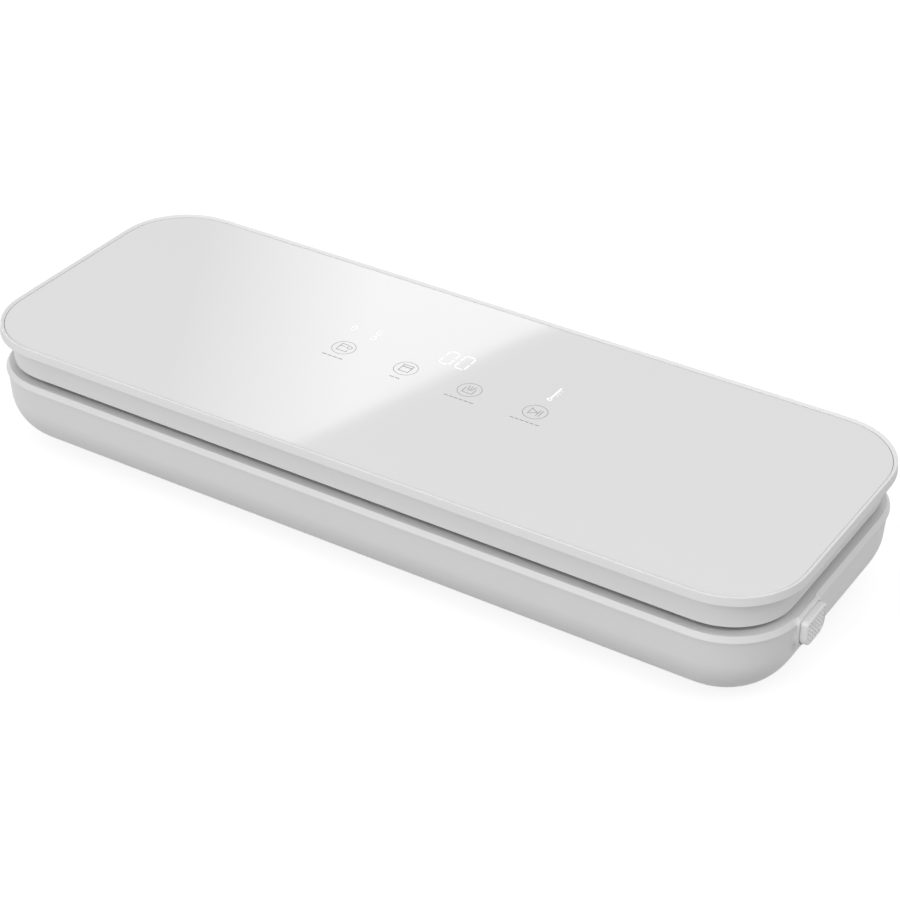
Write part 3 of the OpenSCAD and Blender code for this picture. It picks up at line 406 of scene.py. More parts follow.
SUBSURFACE_SCALE = 0.002
NOISE_RANGE = (0.3, 0.7)  # what most of a noise texture's values lie between
WAVE_LENGTH = math.tau / 20  # of a wave texture at a scale of 1, in metres
MIX_DARK, MIX_LIGHT, MIX_COLOUR = 6, 7, 2  # a Mix node's colour inputs and its colour output, by number


@dataclass(frozen=True)
class Finish:
    """A node material with a base, a slow drift in tone and a fine relief.

    The drift is a broad noise that moves the colour by drift and the roughness by roughness_drift. The
    relief is a fine noise that feeds a bump node. Both read Object coordinates.
    """

    name: str
    colour: tuple[float, float, float]
    roughness: float = 0.45
    metallic: float = 0.0
    drift: float = 0.015
    drift_scale: float = 18.0
    roughness_drift: float = 0.04
    grain_scale: float = 2600.0
    grain_height: float = 0.006
    stretch: tuple[float, float, float] = (1.0, 1.0, 1.0)
    ior: float = 1.47
    subsurface: float = 0.0
    emission: float = 0.0

    def material(self) -> bpy.types.Material:
        """Builds the material, once.

        Returns:
            The node material, the same one at every call.
        """
        known = bpy.data.materials.get(self.name)
        if known:
            return known
        made = bpy.data.materials.new(self.name)
        made.use_nodes = True
        tree = made.node_tree
        shader = tree.nodes["Principled BSDF"]
        shader.inputs["Metallic"].default_value = self.metallic
        shader.inputs["IOR"].default_value = self.ior
        shader.inputs["Subsurface Weight"].default_value = self.subsurface
        shader.inputs["Subsurface Scale"].default_value = SUBSURFACE_SCALE
        if self.emission:
            shader.inputs["Emission Color"].default_value = (*self.colour, 1)
            shader.inputs["Emission Strength"].default_value = self.emission
        self.pattern(tree, shader)
        return made

    def noise(self, tree: bpy.types.NodeTree, scale: float, detail: float) -> bpy.types.NodeSocket:
        """Adds a noise texture on Object coordinates, stretched as the finish says.

        Args:
            tree: The material's node tree.
            scale: Scale of the noise.
            detail: Octaves of the noise.

        Returns:
            The noise's value, mostly within NOISE_RANGE.
        """
        place = tree.nodes.new("ShaderNodeTexCoord")
        mapping = tree.nodes.new("ShaderNodeMapping")
        mapping.inputs["Scale"].default_value = self.stretch
        tree.links.new(place.outputs["Object"], mapping.inputs["Vector"])
        texture = tree.nodes.new("ShaderNodeTexNoise")
        texture.inputs["Scale"].default_value = scale
        texture.inputs["Detail"].default_value = detail
        tree.links.new(mapping.outputs["Vector"], texture.inputs["Vector"])
        return texture.outputs["Fac"]

    def spread(self, tree: bpy.types.NodeTree, source: bpy.types.NodeSocket, low: float,
               high: float) -> bpy.types.NodeSocket:
        """Maps NOISE_RANGE evenly to another range.

        Args:
            tree: The material's node tree.
            source: The pattern.
            low: Value at the range's start.
            high: Value at the range's end.

        Returns:
            The mapped value.
        """
        node = tree.nodes.new("ShaderNodeMapRange")
        for name, value in zip(("From Min", "From Max", "To Min", "To Max"), (*NOISE_RANGE, low, high)):
            node.inputs[name].default_value = value
        tree.links.new(source, node.inputs["Value"])
        return node.outputs["Result"]

    def relief(self, tree: bpy.types.NodeTree, shader: bpy.types.Node, source: bpy.types.NodeSocket,
               height: float) -> None:
        """Feeds a pattern to the shader as a bump.

        Args:
            tree: The material's node tree.
            shader: The main shader.
            source: The pattern.
            height: Height of the relief in millimetres.
        """
        bump = tree.nodes.new("ShaderNodeBump")
        bump.inputs["Strength"].default_value = 1.0
        bump.inputs["Distance"].default_value = height * MM
        tree.links.new(source, bump.inputs["Height"])
        tree.links.new(bump.outputs["Normal"], shader.inputs[Channel.NORMAL.value])

    def tint(self, tree: bpy.types.NodeTree, shader: bpy.types.Node, source: bpy.types.NodeSocket) -> None:
        """Drives the colour between two tones, colour * (1 - drift) and colour * (1 + drift).

        Args:
            tree: The material's node tree.
            shader: The main shader.
            source: The pattern.
        """
        mix = tree.nodes.new("ShaderNodeMix")
        mix.data_type = "RGBA"
        dark = [max(0.0, c * (1 - self.drift)) for c in self.colour]
        light = [min(1.0, c * (1 + self.drift)) for c in self.colour]
        mix.inputs[MIX_DARK].default_value = (*dark, 1)
        mix.inputs[MIX_LIGHT].default_value = (*light, 1)
        tree.links.new(source, mix.inputs["Factor"])
        tree.links.new(mix.outputs[MIX_COLOUR], shader.inputs[Channel.COLOUR.value])

    def pattern(self, tree: bpy.types.NodeTree, shader: bpy.types.Node) -> None:
        """Wires the drift and the grain to the shader.

        Args:
            tree: The material's node tree.
            shader: The main shader.
        """
        broad = self.noise(tree, self.drift_scale, 3.0)
        self.tint(tree, shader, broad)
        fine = self.noise(tree, self.grain_scale, 2.0)
        low = max(0.0, self.roughness - self.roughness_drift)
        high = min(1.0, self.roughness + self.roughness_drift)
        rough = self.spread(tree, broad, low, high)
        tree.links.new(rough, shader.inputs[Channel.ROUGHNESS.value])
        if self.grain_height:
            self.relief(tree, shader, fine, self.grain_height)


@dataclass(frozen=True)
class Woven(Finish):
    """Cloth woven from crossing threads: two sine waves at right angles."""

    thread: float = 0.55
    waver: float = 0.4

    def pattern(self, tree: bpy.types.NodeTree, shader: bpy.types.Node) -> None:
        """Wires the crossing threads to tone and relief.

        A wave texture repeats every WAVE_LENGTH / scale metres.

        Args:
            tree: The material's node tree.
            shader: The main shader.
        """
        place = tree.nodes.new("ShaderNodeTexCoord")
        waves = []
        for axis in ("X", "Y"):
            wave = tree.nodes.new("ShaderNodeTexWave")
            wave.bands_direction = axis
            wave.inputs["Scale"].default_value = WAVE_LENGTH / (self.thread * MM)
            wave.inputs["Distortion"].default_value = self.waver
            tree.links.new(place.outputs["Object"], wave.inputs["Vector"])
            waves.append(wave.outputs["Fac"])
        product = tree.nodes.new("ShaderNodeMath")
        product.operation = "MULTIPLY"
        tree.links.new(waves[0], product.inputs[0])
        tree.links.new(waves[1], product.inputs[1])
        self.tint(tree, shader, product.outputs[0])
        shader.inputs[Channel.ROUGHNESS.value].default_value = self.roughness
        self.relief(tree, shader, product.outputs[0], self.grain_height)


@dataclass(frozen=True)
class Foam(Finish):
    """Closed-cell foam: small cells that darken and dent the surface."""

    cell: float = 0.5

    def pattern(self, tree: bpy.types.NodeTree, shader: bpy.types.Node) -> None:
        """Wires the cells to tone and relief.

        Args:
            tree: The material's node tree.
            shader: The main shader.
        """
        place = tree.nodes.new("ShaderNodeTexCoord")
        cells = tree.nodes.new("ShaderNodeTexVoronoi")
        cells.inputs["Scale"].default_value = 1 / (self.cell * MM)
        tree.links.new(place.outputs["Object"], cells.inputs["Vector"])
        self.tint(tree, shader, cells.outputs["Distance"])
        shader.inputs[Channel.ROUGHNESS.value].default_value = self.roughness
        self.relief(tree, shader, cells.outputs["Distance"], self.grain_height)


WHITE = 0.74
FINISHES = {
    "shell_white": Finish("moulded shell", (WHITE,) * 3, roughness=0.42, subsurface=0.02, ior=1.42),
    "deck_white": Finish("moulded deck", (WHITE * 0.97,) * 3, roughness=0.40, subsurface=0.02, ior=1.42),
    # frame_white is lighter than the shell's white so that the frame's steep flank reads brighter: painted
    # light
    "frame_white": Finish("moulded frame", (WHITE * 1.05,) * 3, roughness=0.5, grain_height=0.003, ior=1.38),
    "glass_white": Finish("back-painted glass", (0.735, 0.735, 0.738), roughness=0.04, roughness_drift=0.004,
                          drift=0.004, grain_height=0.0, ior=1.52),
    # button_white is lighter than the shell's white to brighten the cap's top and edges: painted light
    "button_white": Finish("moulded button", (WHITE * 1.09,) * 3, roughness=0.38),
    "foam_grey": Foam("gasket foam", (0.045, 0.045, 0.048), roughness=0.9, drift=0.5, grain_height=0.12),
    "bar_tan": Finish("pressed laminate", (0.38, 0.24, 0.13), roughness=0.6, drift=0.2, drift_scale=60,
                      stretch=(0.2, 1, 1), grain_scale=900, grain_height=0.02),
    "strip_steel": Finish("rolled strip", (0.55, 0.54, 0.52), roughness=0.32, metallic=1.0,
                          stretch=(0.02, 1, 1), grain_scale=3000, grain_height=0.004, drift_scale=200),
    "tape_brown": Woven("coated glass cloth", (0.30, 0.17, 0.085), roughness=0.42, drift=0.35,
                        grain_height=0.05),
    "brass": Finish("stamped brass", (0.70, 0.52, 0.22), roughness=0.3, metallic=1.0, grain_height=0.004),
    "grey_plastic": Finish("grey acetal", (0.42, 0.43, 0.45), roughness=0.4),
    "dark_plastic": Finish("black nylon", (0.022, 0.022, 0.024), roughness=0.5, drift=0.1, grain_height=0.01),
    "hose_clear": Finish("clear silicone", (0.78, 0.76, 0.70), roughness=0.35, subsurface=0.3),
    "steel": Finish("turned steel", (0.50, 0.50, 0.51), roughness=0.28, metallic=1.0, drift_scale=90,
                    stretch=(3, 1, 1), grain_height=0.004),
    "zinc": Finish("bright zinc", (0.60, 0.61, 0.63), roughness=0.34, metallic=1.0, drift=0.08,
                   drift_scale=60),
    "black_rubber": Finish("black rubber", (0.02, 0.02, 0.02), roughness=0.85, drift=0.1, grain_height=0.02),
    "grey_rubber": Finish("grey rubber", (0.42, 0.42, 0.42), roughness=0.8, drift=0.04, grain_height=0.015),
    "board_green": Finish("green solder mask", (0.02, 0.11, 0.045), roughness=0.35, drift=0.12,
                          drift_scale=240),
    "board_white": Finish("white solder mask", (0.70, 0.72, 0.70), roughness=0.35, drift=0.03,
                          drift_scale=240),
    "ferrite": Finish("sintered ferrite", (0.03, 0.03, 0.032), roughness=0.7, drift=0.15, grain_height=0.02),
    "coil_yellow": Finish("polyester tape", (0.68, 0.46, 0.03), roughness=0.3, stretch=(1, 1, 12)),
    "can_blue": Finish("printed sleeve", (0.02, 0.04, 0.13), roughness=0.25, drift=0.1),
    "relay_blue": Finish("relay case", (0.03, 0.10, 0.33), roughness=0.3, drift=0.04),
    "fin_grey": Finish("anodised fins", (0.32, 0.33, 0.35), roughness=0.42, metallic=0.9,
                       stretch=(1, 1, 0.05)),
    "terminal_green": Finish("terminal body", (0.03, 0.24, 0.08), roughness=0.45),
    "silicone_grey": Finish("pressing silicone", (0.50, 0.50, 0.50), roughness=0.55, subsurface=0.1),
    "ribbon": Finish("polyimide film", (0.55, 0.24, 0.03), roughness=0.2, stretch=(9, 0.2, 1), drift=0.25,
                     drift_scale=150),
}
MARK_GREY = Finish("printed grey", (0.24, 0.24, 0.245), roughness=0.3, grain_height=0.0)
MARK_WHITE = Finish("lit white", (0.93, 0.94, 0.95), roughness=0.3, grain_height=0.0, emission=0.12)


def dress(piece: bpy.types.Object, slot: str, body: str, *nodes: str) -> None:
    """Gives a piece its finish and its body, and hides the nodes that it stands for.

    Args:
        piece: The mesh object.
        slot: Name of the material slot, a key of FINISHES.
        body: Name of the body that the piece rides on.
        nodes: Names of the CAD nodes that it replaces.
    """
    piece.data.materials.clear()
    piece.data.materials.append(FINISHES[slot].material())
    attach(piece, body)
    if nodes:
        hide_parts(*nodes)
    LOG.info("%s rides on %s, %d faces", piece.name, body, len(piece.data.polygons))


# ---------------------------------------------------------------- base


@dataclass(frozen=True)
class Levels:
    """Heights above the surface that the feet stand on."""

    bottom: float = 2.0
    floor: float = 4.5
    bend: float = 25.2
    deck_under: float = 33.6
    parting: float = 35.4
    deck: float = 36.0
    rim: float = 38.1
    lid_low: float = 40.2
    lid_floor: float = 42.4
    hinge: float = 44.0
    lower_foam: float = 37.95
    upper_foam: float = 38.25
    seam: float = 51.5
    brow: float = 53.9
    ledge: float = 54.8
    top: float = 57.3
    crest: float = 58.3


Z = Levels()


@dataclass(frozen=True)
class CapOutline:
    """Outline of the release button's cap, seen from the end: square-shouldered, well rounded below."""

    centre_y: float = -32.7
    centre_z: float = 30.75
    width: float = 17.4
    height: float = 12.5
    shoulder: float = 2.0
    chin: float = 5.2
    least: float = 0.05
    ring_steps: int = 14

    def points(self, grow: float = 0.0, steps: int = 10) -> np.ndarray:
        """Closed outline in (y, z).

        Args:
            grow: Distance by which it is grown evenly.
            steps: Segments in each corner.

        Returns:
            Array of shape (n, 2).
        """
        a, b = self.width / 2 + grow, self.height / 2 + grow
        top, low = (max(self.least, radius + grow) for radius in (self.shoulder, self.chin))
        corners = [(a, -b, low), (a, b, top), (-a, b, top), (-a, -b, low)]
        return rounded_path(corners, closed=True, steps=steps) + [self.centre_y, self.centre_z]

    def block(self, name: str, low_x: float, high_x: float, grow: float = 0.0) -> bpy.types.Object:
        """Prism of the outline between two places along X."""
        return prism_x(name, self.points(grow), low_x, high_x)


CAP = CapOutline()


@dataclass
class BaseHousing:
    """Lower shell, its boss round the button, and the deck with rim, trough and hinge ears.

    Places along X count from the middle of the body. A pair or triple of sizes is given in the order
    that its comment says.
    """

    wall_inset: float = 1.9
    wall_draft: float = 0.6
    bend_radius: float = 23.2
    bend_points: int = 33
    thickness: float = 2.5
    mouth_rounds: tuple[float, float] = (0.35, 0.2)  # outer and inner edge of the shell's mouth
    rim_inset: float = 1.3
    rim_bevel: tuple[float, float] = (1.5, 2.2)
    slope_inset: float = 7.5
    slope_rise: float = 1.6
    slope_foot: float = 12.8
    deck_inset: float = 14.0
    lip: tuple[float, float, float] = (4.8, 6.8, 31.4)  # outer inset, inner inset, lowest height
    deck_rounds: tuple[float, ...] = (1.5, 4.0, 0.2, 1.1, 0.1)  # slope's foot and head, rim, bevel, parting
    deck_steps: int = 10
    pocket_x: float = 189.95
    pocket_play: float = 0.25
    boss_x: float = 193.25
    foot_places: tuple[float, float] = (150.0, 38.0)
    foot_seat: tuple[float, float] = (8.15, 1.2)  # radius, depth
    screw_places: tuple[float, ...] = (-128.0, -5.0, 128.0)
    screw_side: float = 42.0
    screw_seat: tuple[float, float] = (3.1, 2.3)  # radius, depth
    air_slot: tuple[float, float, float] = (2.4, 16.4, 1.2)  # width, length, corner radius
    air_row: tuple[int, float, float, float] = (7, 10.0, 9.0, 35.0)  # count, first X, pitch, Y
    gland: tuple[float, float, float] = (-130.0, 8.6, 5.0)  # X, depth below the parting, radius
    gland_reach: tuple[float, float] = (60.0, 76.0)
    trough: tuple[float, float, float] = (312.0, 34.0, 10.0)  # length, width, depth
    trough_y: float = -17.0
    trough_wall: float = 2.0
    trough_corner: float = 8.0
    gasket: tuple[float, float, float] = (332.0, 54.0, 8.0)  # length, width, band
    gasket_corners: tuple[float, float] = (18.0, 10.0)
    gasket_play: float = 0.2
    gasket_round: float = 1.2
    gasket_steps: int = 12
    groove_depth: float = 1.2
    bar_y: float = -52.0
    bar_seat: tuple[float, float, float] = (318.0, 11.2, 0.4)  # length, width, corner radius
    bar_depth: float = 2.0
    hook: tuple[float, float] = (172.0, -39.0)
    hook_slot: tuple[float, float, float] = (11.0, 13.5, 1.0)  # length, width, corner radius
    hook_slot_shift: tuple[float, float] = (-1.0, -0.25)
    hinge: tuple[float, float] = (115.0, 62.0)
    ear: tuple[float, float] = (12.0, 4.0)  # length along X, radius
    ear_points: int = 25
    pin_bore: float = 1.55
    ribbon: tuple[float, float, float] = (14.0, 2.5, 1.0)  # length, width, corner radius
    ribbon_place: tuple[float, float] = (-40.0, 55.75)
    boss_flank: tuple[tuple[float, float, float], ...] = (  # growth, share of the lead, rise over the rim
        (2.7, -0.12, -0.2), (2.2, 0.03, 0.0), (1.75, 0.10, 0.18), (1.48, 0.24, 0.22), (1.36, 0.44, 0.08),
        (1.32, 0.74, -0.22))
    boss_face: tuple[tuple[float, float], ...] = (  # growth, depth behind the face
        (1.32, 0.35), (1.22, 0.10), (0.97, 0.0), (0.5, 0.0), (0.32, 0.08), (0.25, 0.28), (0.25, 2.9))
    boss_drops: tuple[float, float, float] = (0.30, 0.55, 0.5)  # top below the rim: pocket, face, foot
    boss_foot: float = 0.6
    boss_back: tuple[float, float, float] = (2.5, 0.9, 0.9)  # growth, top below the rim, depth in the wall
    boss_mouth: float = 0.3
    boss_crease: float = 40.0
    skirt_drop: float = 0.4
    end_from: float = 120.0
    table_rows: int = 24
    table_slack: float = 0.1

    def shell(self) -> bpy.types.Object:
        """Tub with drafted walls that roll into the flat bottom on a large radius.

        The outer profile is the drafted line and a quarter circle; the inner one is the same, a wall
        thickness further in.

        Returns:
            The dressed piece.
        """
        turn = np.radians(np.linspace(180, 270, self.bend_points))[:, None]
        foot = self.wall_inset + self.wall_draft
        centre = np.array([foot + self.bend_radius, Z.bend])
        around = np.concatenate([np.cos(turn), np.sin(turn)], axis=1)
        outer = centre + self.bend_radius * around
        inner = centre + (self.bend_radius - self.thickness) * around[::-1]
        round_out, round_in = self.mouth_rounds
        lip = rounded_path([(foot, Z.bend, 0), (self.wall_inset, Z.parting, round_out),
                            (self.wall_inset + self.thickness, Z.parting, round_in),
                            (foot + self.thickness, Z.bend, 0)], closed=False)
        profile = np.concatenate([outer[::-1], lip[1:-1], inner[::-1]])
        piece = grid_object("base_housing", OUTLINE.carry(profile, *BASE_POINTS), wrap_rows=False)
        self.cut_bottom(piece)
        cut(piece, self.pocket(), self.gland_hole())
        smooth(piece)
        dress(piece, "shell_white", "base", "base_shell")
        return piece

    def cut_bottom(self, piece: bpy.types.Object) -> None:
        """Cuts the foot recesses, screw holes and air slots.

        Args:
            piece: The tub.
        """
        x0, low = OUTLINE.centre_x, Z.bottom - CLEAR
        foot_radius, foot_depth = self.foot_seat
        screw_radius, screw_depth = self.screw_seat
        for sx in (-1, 1):
            for sy in (-1, 1):
                foot = disc(x0 + sx * self.foot_places[0], sy * self.foot_places[1], foot_radius)
                cut(piece, prism("foot_seat", foot, low, Z.bottom + foot_depth))
            for place in self.screw_places:
                hole = disc(x0 + place, sx * self.screw_side, screw_radius, HOLE_POINTS)
                cut(piece, prism("screw_seat", hole, low, Z.bottom + screw_depth))
        count, first, pitch, y = self.air_row
        for k in range(count):
            slot = rounded_rectangle(*self.air_slot) + [x0 + first + pitch * k, y]
            cut(piece, prism("air_slot", slot, low, Z.floor + CLEAR))

    def pocket(self) -> bpy.types.Object:
        """Cutter of the cap's outline that opens its pocket in the end wall."""
        return CAP.block("pocket", self.pocket_x, self.boss_x + 4 * CLEAR, self.pocket_play)

    def gland_hole(self) -> bpy.types.Object:
        """Round cutter for the cable gland in the back wall.

        Returns:
            The closed mesh object.
        """
        x, drop, radius = self.gland
        ring = disc(OUTLINE.centre_x + x, Z.parting - drop, radius)
        return grid_object("gland_hole", along_y(extruded(ring, *self.gland_reach)), wrap_rows=False)

    def trough_form(self, name: str, low: float, high: float, wall: float = 0.0) -> bpy.types.Object:
        """Prism of the trough's plan.

        Args:
            name: Name of the object.
            low: Height of its lower face.
            high: Height of its upper face.
            wall: Distance by which it is grown.

        Returns:
            The closed mesh object.
        """
        length, width, _ = self.trough
        plan = rounded_rectangle(length + 2 * wall, width + 2 * wall, self.trough_corner + wall)
        return prism(name, plan + [OUTLINE.centre_x, self.trough_y], low, high)

    def groove(self, low: float, high: float) -> bpy.types.Object:
        """Ring-shaped cutter for a gasket's groove, a little wider than the foam on either side.

        Args:
            low: Height of its lower face.
            high: Height of its upper face.

        Returns:
            The closed mesh object.
        """
        length, width, band = self.gasket
        place = [OUTLINE.centre_x, self.trough_y]
        outer, inner = self.gasket_corners
        less = 2 * band + self.gasket_play
        ring = prism("groove", rounded_rectangle(length + self.gasket_play, width + self.gasket_play, outer)
                     + place, low, high)
        cut(ring, prism("island", rounded_rectangle(length - less, width - less, inner) + place,
                        low - CLEAR, high + CLEAR))
        return ring

    def ribbon_way(self, name: str, low: float, high: float) -> bpy.types.Object:
        """Cutter for the slot through which the flat cable passes, in the deck or in the lid."""
        x, y = self.ribbon_place
        return prism(name, rounded_rectangle(*self.ribbon) + [OUTLINE.centre_x + x, y], low, high)

    def wall_x(self, y: np.ndarray, z: np.ndarray) -> np.ndarray:
        """Place of the right end's outer surface, found by matching the carried profile.

        The inset follows from the height. The outline is moved inwards by a table of insets, and the place
        is read between its two nearest rows.

        Args:
            y: Places along Y.
            z: Heights, of the same shape.

        Returns:
            The X of the wall or rim there.
        """
        inset = np.where(z > Z.parting, self.rim_inset, self.wall_inset + self.wall_draft
                         * (Z.parting - z) / (Z.parting - Z.bend))
        across, down = self.rim_bevel
        inset = inset + np.clip(z - (Z.rim - down), 0, down) * across / down
        below = np.clip(Z.bend - z, 0, self.bend_radius - self.table_slack)
        rolled = (self.wall_inset + self.wall_draft + self.bend_radius
                  - np.sqrt(self.bend_radius ** 2 - below ** 2))
        inset = np.where(z < Z.bend, rolled, inset)
        points, normals = OUTLINE.sampled(*WALL_POINTS)
        right = points[:, 0] > self.end_from
        flat_y, flat_d = y.ravel(), inset.ravel()
        levels = np.linspace(0, flat_d.max() + self.table_slack, self.table_rows)
        table = []
        for level in levels:
            moved = points[right] - level * normals[right]
            order = np.argsort(moved[:, 1])
            table.append(np.interp(flat_y, moved[order, 1], moved[order, 0]))
        table = np.array(table)
        position = flat_d / levels[1]
        lower = np.clip(position.astype(int), 0, len(levels) - 2)
        share = position - lower
        columns = np.arange(len(flat_y))
        found = table[lower, columns] * (1 - share) + table[lower + 1, columns] * share
        return found.reshape(y.shape)

    def boss(self) -> bpy.types.Object:
        """Raised border round the button, blended into the wall, with a sloping top.

        Rows run from a skirt on the wall, round a small hollow, up the flank and over a rounded edge to
        the face, and down into the pocket. The skirt's X is the wall's own. Each row is cut off at its
        own height, so that the top rises to a low ridge at the rim and slopes down to the face.

        Returns:
            The dressed piece.
        """
        pocket_drop, face_drop, foot_drop = self.boss_drops
        rows = []

        def row(grow: float, lift: float, depth: float, top: float) -> None:
            """Adds a ring whose X is the wall's, plus lift times the face's lead on it, less depth.

            Args:
                grow: Distance by which the cap's outline is grown.
                lift: Share of the way from the wall to the face.
                depth: Distance behind that place.
                top: Height at which the ring is cut off.
            """
            ring = CAP.points(grow, CAP.ring_steps)
            ring[:, 1] = np.minimum(ring[:, 1], top)
            wall = self.wall_x(ring[:, 0], np.minimum(ring[:, 1], Z.rim - self.skirt_drop))
            rows.append(np.column_stack([wall + (self.boss_x - wall) * lift - depth, ring]))

        for grow, lift, rise in self.boss_flank:
            row(grow, lift, 0.0, Z.rim + rise)
        for grow, depth in self.boss_face:
            row(grow, 1.0, depth, Z.rim - (face_drop if depth < self.boss_mouth else pocket_drop))
        row(self.boss_foot, 1.0, self.boss_face[-1][1], Z.rim - foot_drop)
        grow, drop, depth = self.boss_back
        hidden = CAP.points(grow, CAP.ring_steps)
        hidden[:, 1] = np.minimum(hidden[:, 1], Z.rim - drop)
        wall = self.wall_x(hidden[:, 0], hidden[:, 1])
        rows.append(np.column_stack([wall - depth, hidden]))
        piece = grid_object("button_boss", np.array(rows), wrap_rows=True)
        smooth(piece, self.boss_crease)
        dress(piece, "shell_white", "base", "base_shell")
        return piece

    def deck(self) -> bpy.types.Object:
        """Bevelled rim, inner slope and flat deck, with trough, grooves, slots and hinge ears.

        Returns:
            The dressed piece.
        """
        x0 = OUTLINE.centre_x
        across, down = self.rim_bevel
        lip_out, lip_in, lip_low = self.lip
        top, under = Z.deck + CLEAR, Z.deck_under
        foot, head, rim, bevel, parting = self.deck_rounds
        profile = rounded_path([
            (self.deck_inset, Z.deck, 0), (self.slope_foot, Z.deck, foot),
            (self.slope_inset, Z.deck + self.slope_rise, head), (self.rim_inset + across, Z.rim, rim),
            (self.rim_inset, Z.rim - down, bevel), (self.rim_inset, Z.parting, parting),
            (lip_out, Z.parting, 0), (lip_out, lip_low, 0), (lip_in, lip_low, 0), (lip_in, under, 0),
            (self.deck_inset, under, 0)], closed=False, steps=self.deck_steps)
        piece = grid_object("deck", OUTLINE.carry(profile, *BASE_POINTS), wrap_rows=False)
        trough_low = Z.deck - self.trough[2]
        join(piece, self.trough_form("tub", trough_low - self.trough_wall, Z.deck - CLEAR, self.trough_wall))
        for side in (-1, 1):
            join(piece, self.ear_form(x0 + side * self.hinge[0]))
        cut(piece, self.trough_form("trough", trough_low, top), self.groove(Z.deck - self.groove_depth, top))
        seat = rounded_rectangle(*self.bar_seat) + [x0, self.bar_y]
        cut(piece, prism("bar_seat", seat, Z.deck - self.bar_depth, top))
        for side in (-1, 1):
            place = np.array([x0 + side * self.hook[0], self.hook[1]]) + self.hook_slot_shift
            cut(piece, prism("hook_slot", rounded_rectangle(*self.hook_slot) + place, under - CLEAR, top))
        cut(piece, self.ribbon_way("ribbon_slot", under - CLEAR, top), self.pocket())
        smooth(piece)
        dress(piece, "deck_white", "base", "base_deck")
        return piece

    def ear_form(self, x: float) -> bpy.types.Object:
        """Upright ear with a round head on the hinge axis and the pin's bore.

        Args:
            x: Place of its middle.

        Returns:
            The closed mesh object.
        """
        width, radius = self.ear
        y = self.hinge[1]
        ear = hinge_lug("ear", (x - width / 2, x + width / 2), (y, Z.hinge), radius, Z.deck - CLEAR,
                        self.ear_points)
        cut(ear, prism_x("bore", disc(y, Z.hinge, self.pin_bore, HOLE_POINTS), x - width, x + width))
        return ear

    def gaskets(self) -> None:
        """Foam rings in the deck and in the lid, with softly rounded free edges.

        The section is carried round a rounded rectangle: each of its points lies between the ring's outer
        and inner plan by its share of the band.
        """
        length, width, band = self.gasket
        outer_corner, inner_corner = self.gasket_corners
        outer = rounded_rectangle(length, width, outer_corner, self.gasket_steps)
        inner = rounded_rectangle(length - 2 * band, width - 2 * band, inner_corner, self.gasket_steps)
        for name, body, node, low, high in (
                ("lower_foam", "base", "lower_gasket", Z.deck - self.groove_depth, Z.lower_foam),
                ("upper_foam", "lid", "upper_gasket", Z.lid_low + self.groove_depth, Z.upper_foam)):
            order = 1 if high > low else -1
            section = rounded_path([(0, low, 0), (0, high, self.gasket_round),
                                    (band, high, self.gasket_round), (band, low, 0)], closed=True)
            share = section[:, 0, None, None] / band
            plan = outer[None] * (1 - share) + inner[None] * share
            height = np.broadcast_to(section[:, 1, None, None], (*plan.shape[:2], 1))
            grid = np.concatenate([plan + [OUTLINE.centre_x, self.trough_y], height], axis=2)
            piece = grid_object(name, grid[::order], wrap_rows=True)
            smooth(piece)
            dress(piece, "foam_grey", body, node)


BOX_FACES = [[0, 1, 5, 4], [1, 2, 6, 5], [2, 3, 7, 6], [3, 0, 4, 7], [4, 5, 6, 7], [0, 3, 2, 1]]


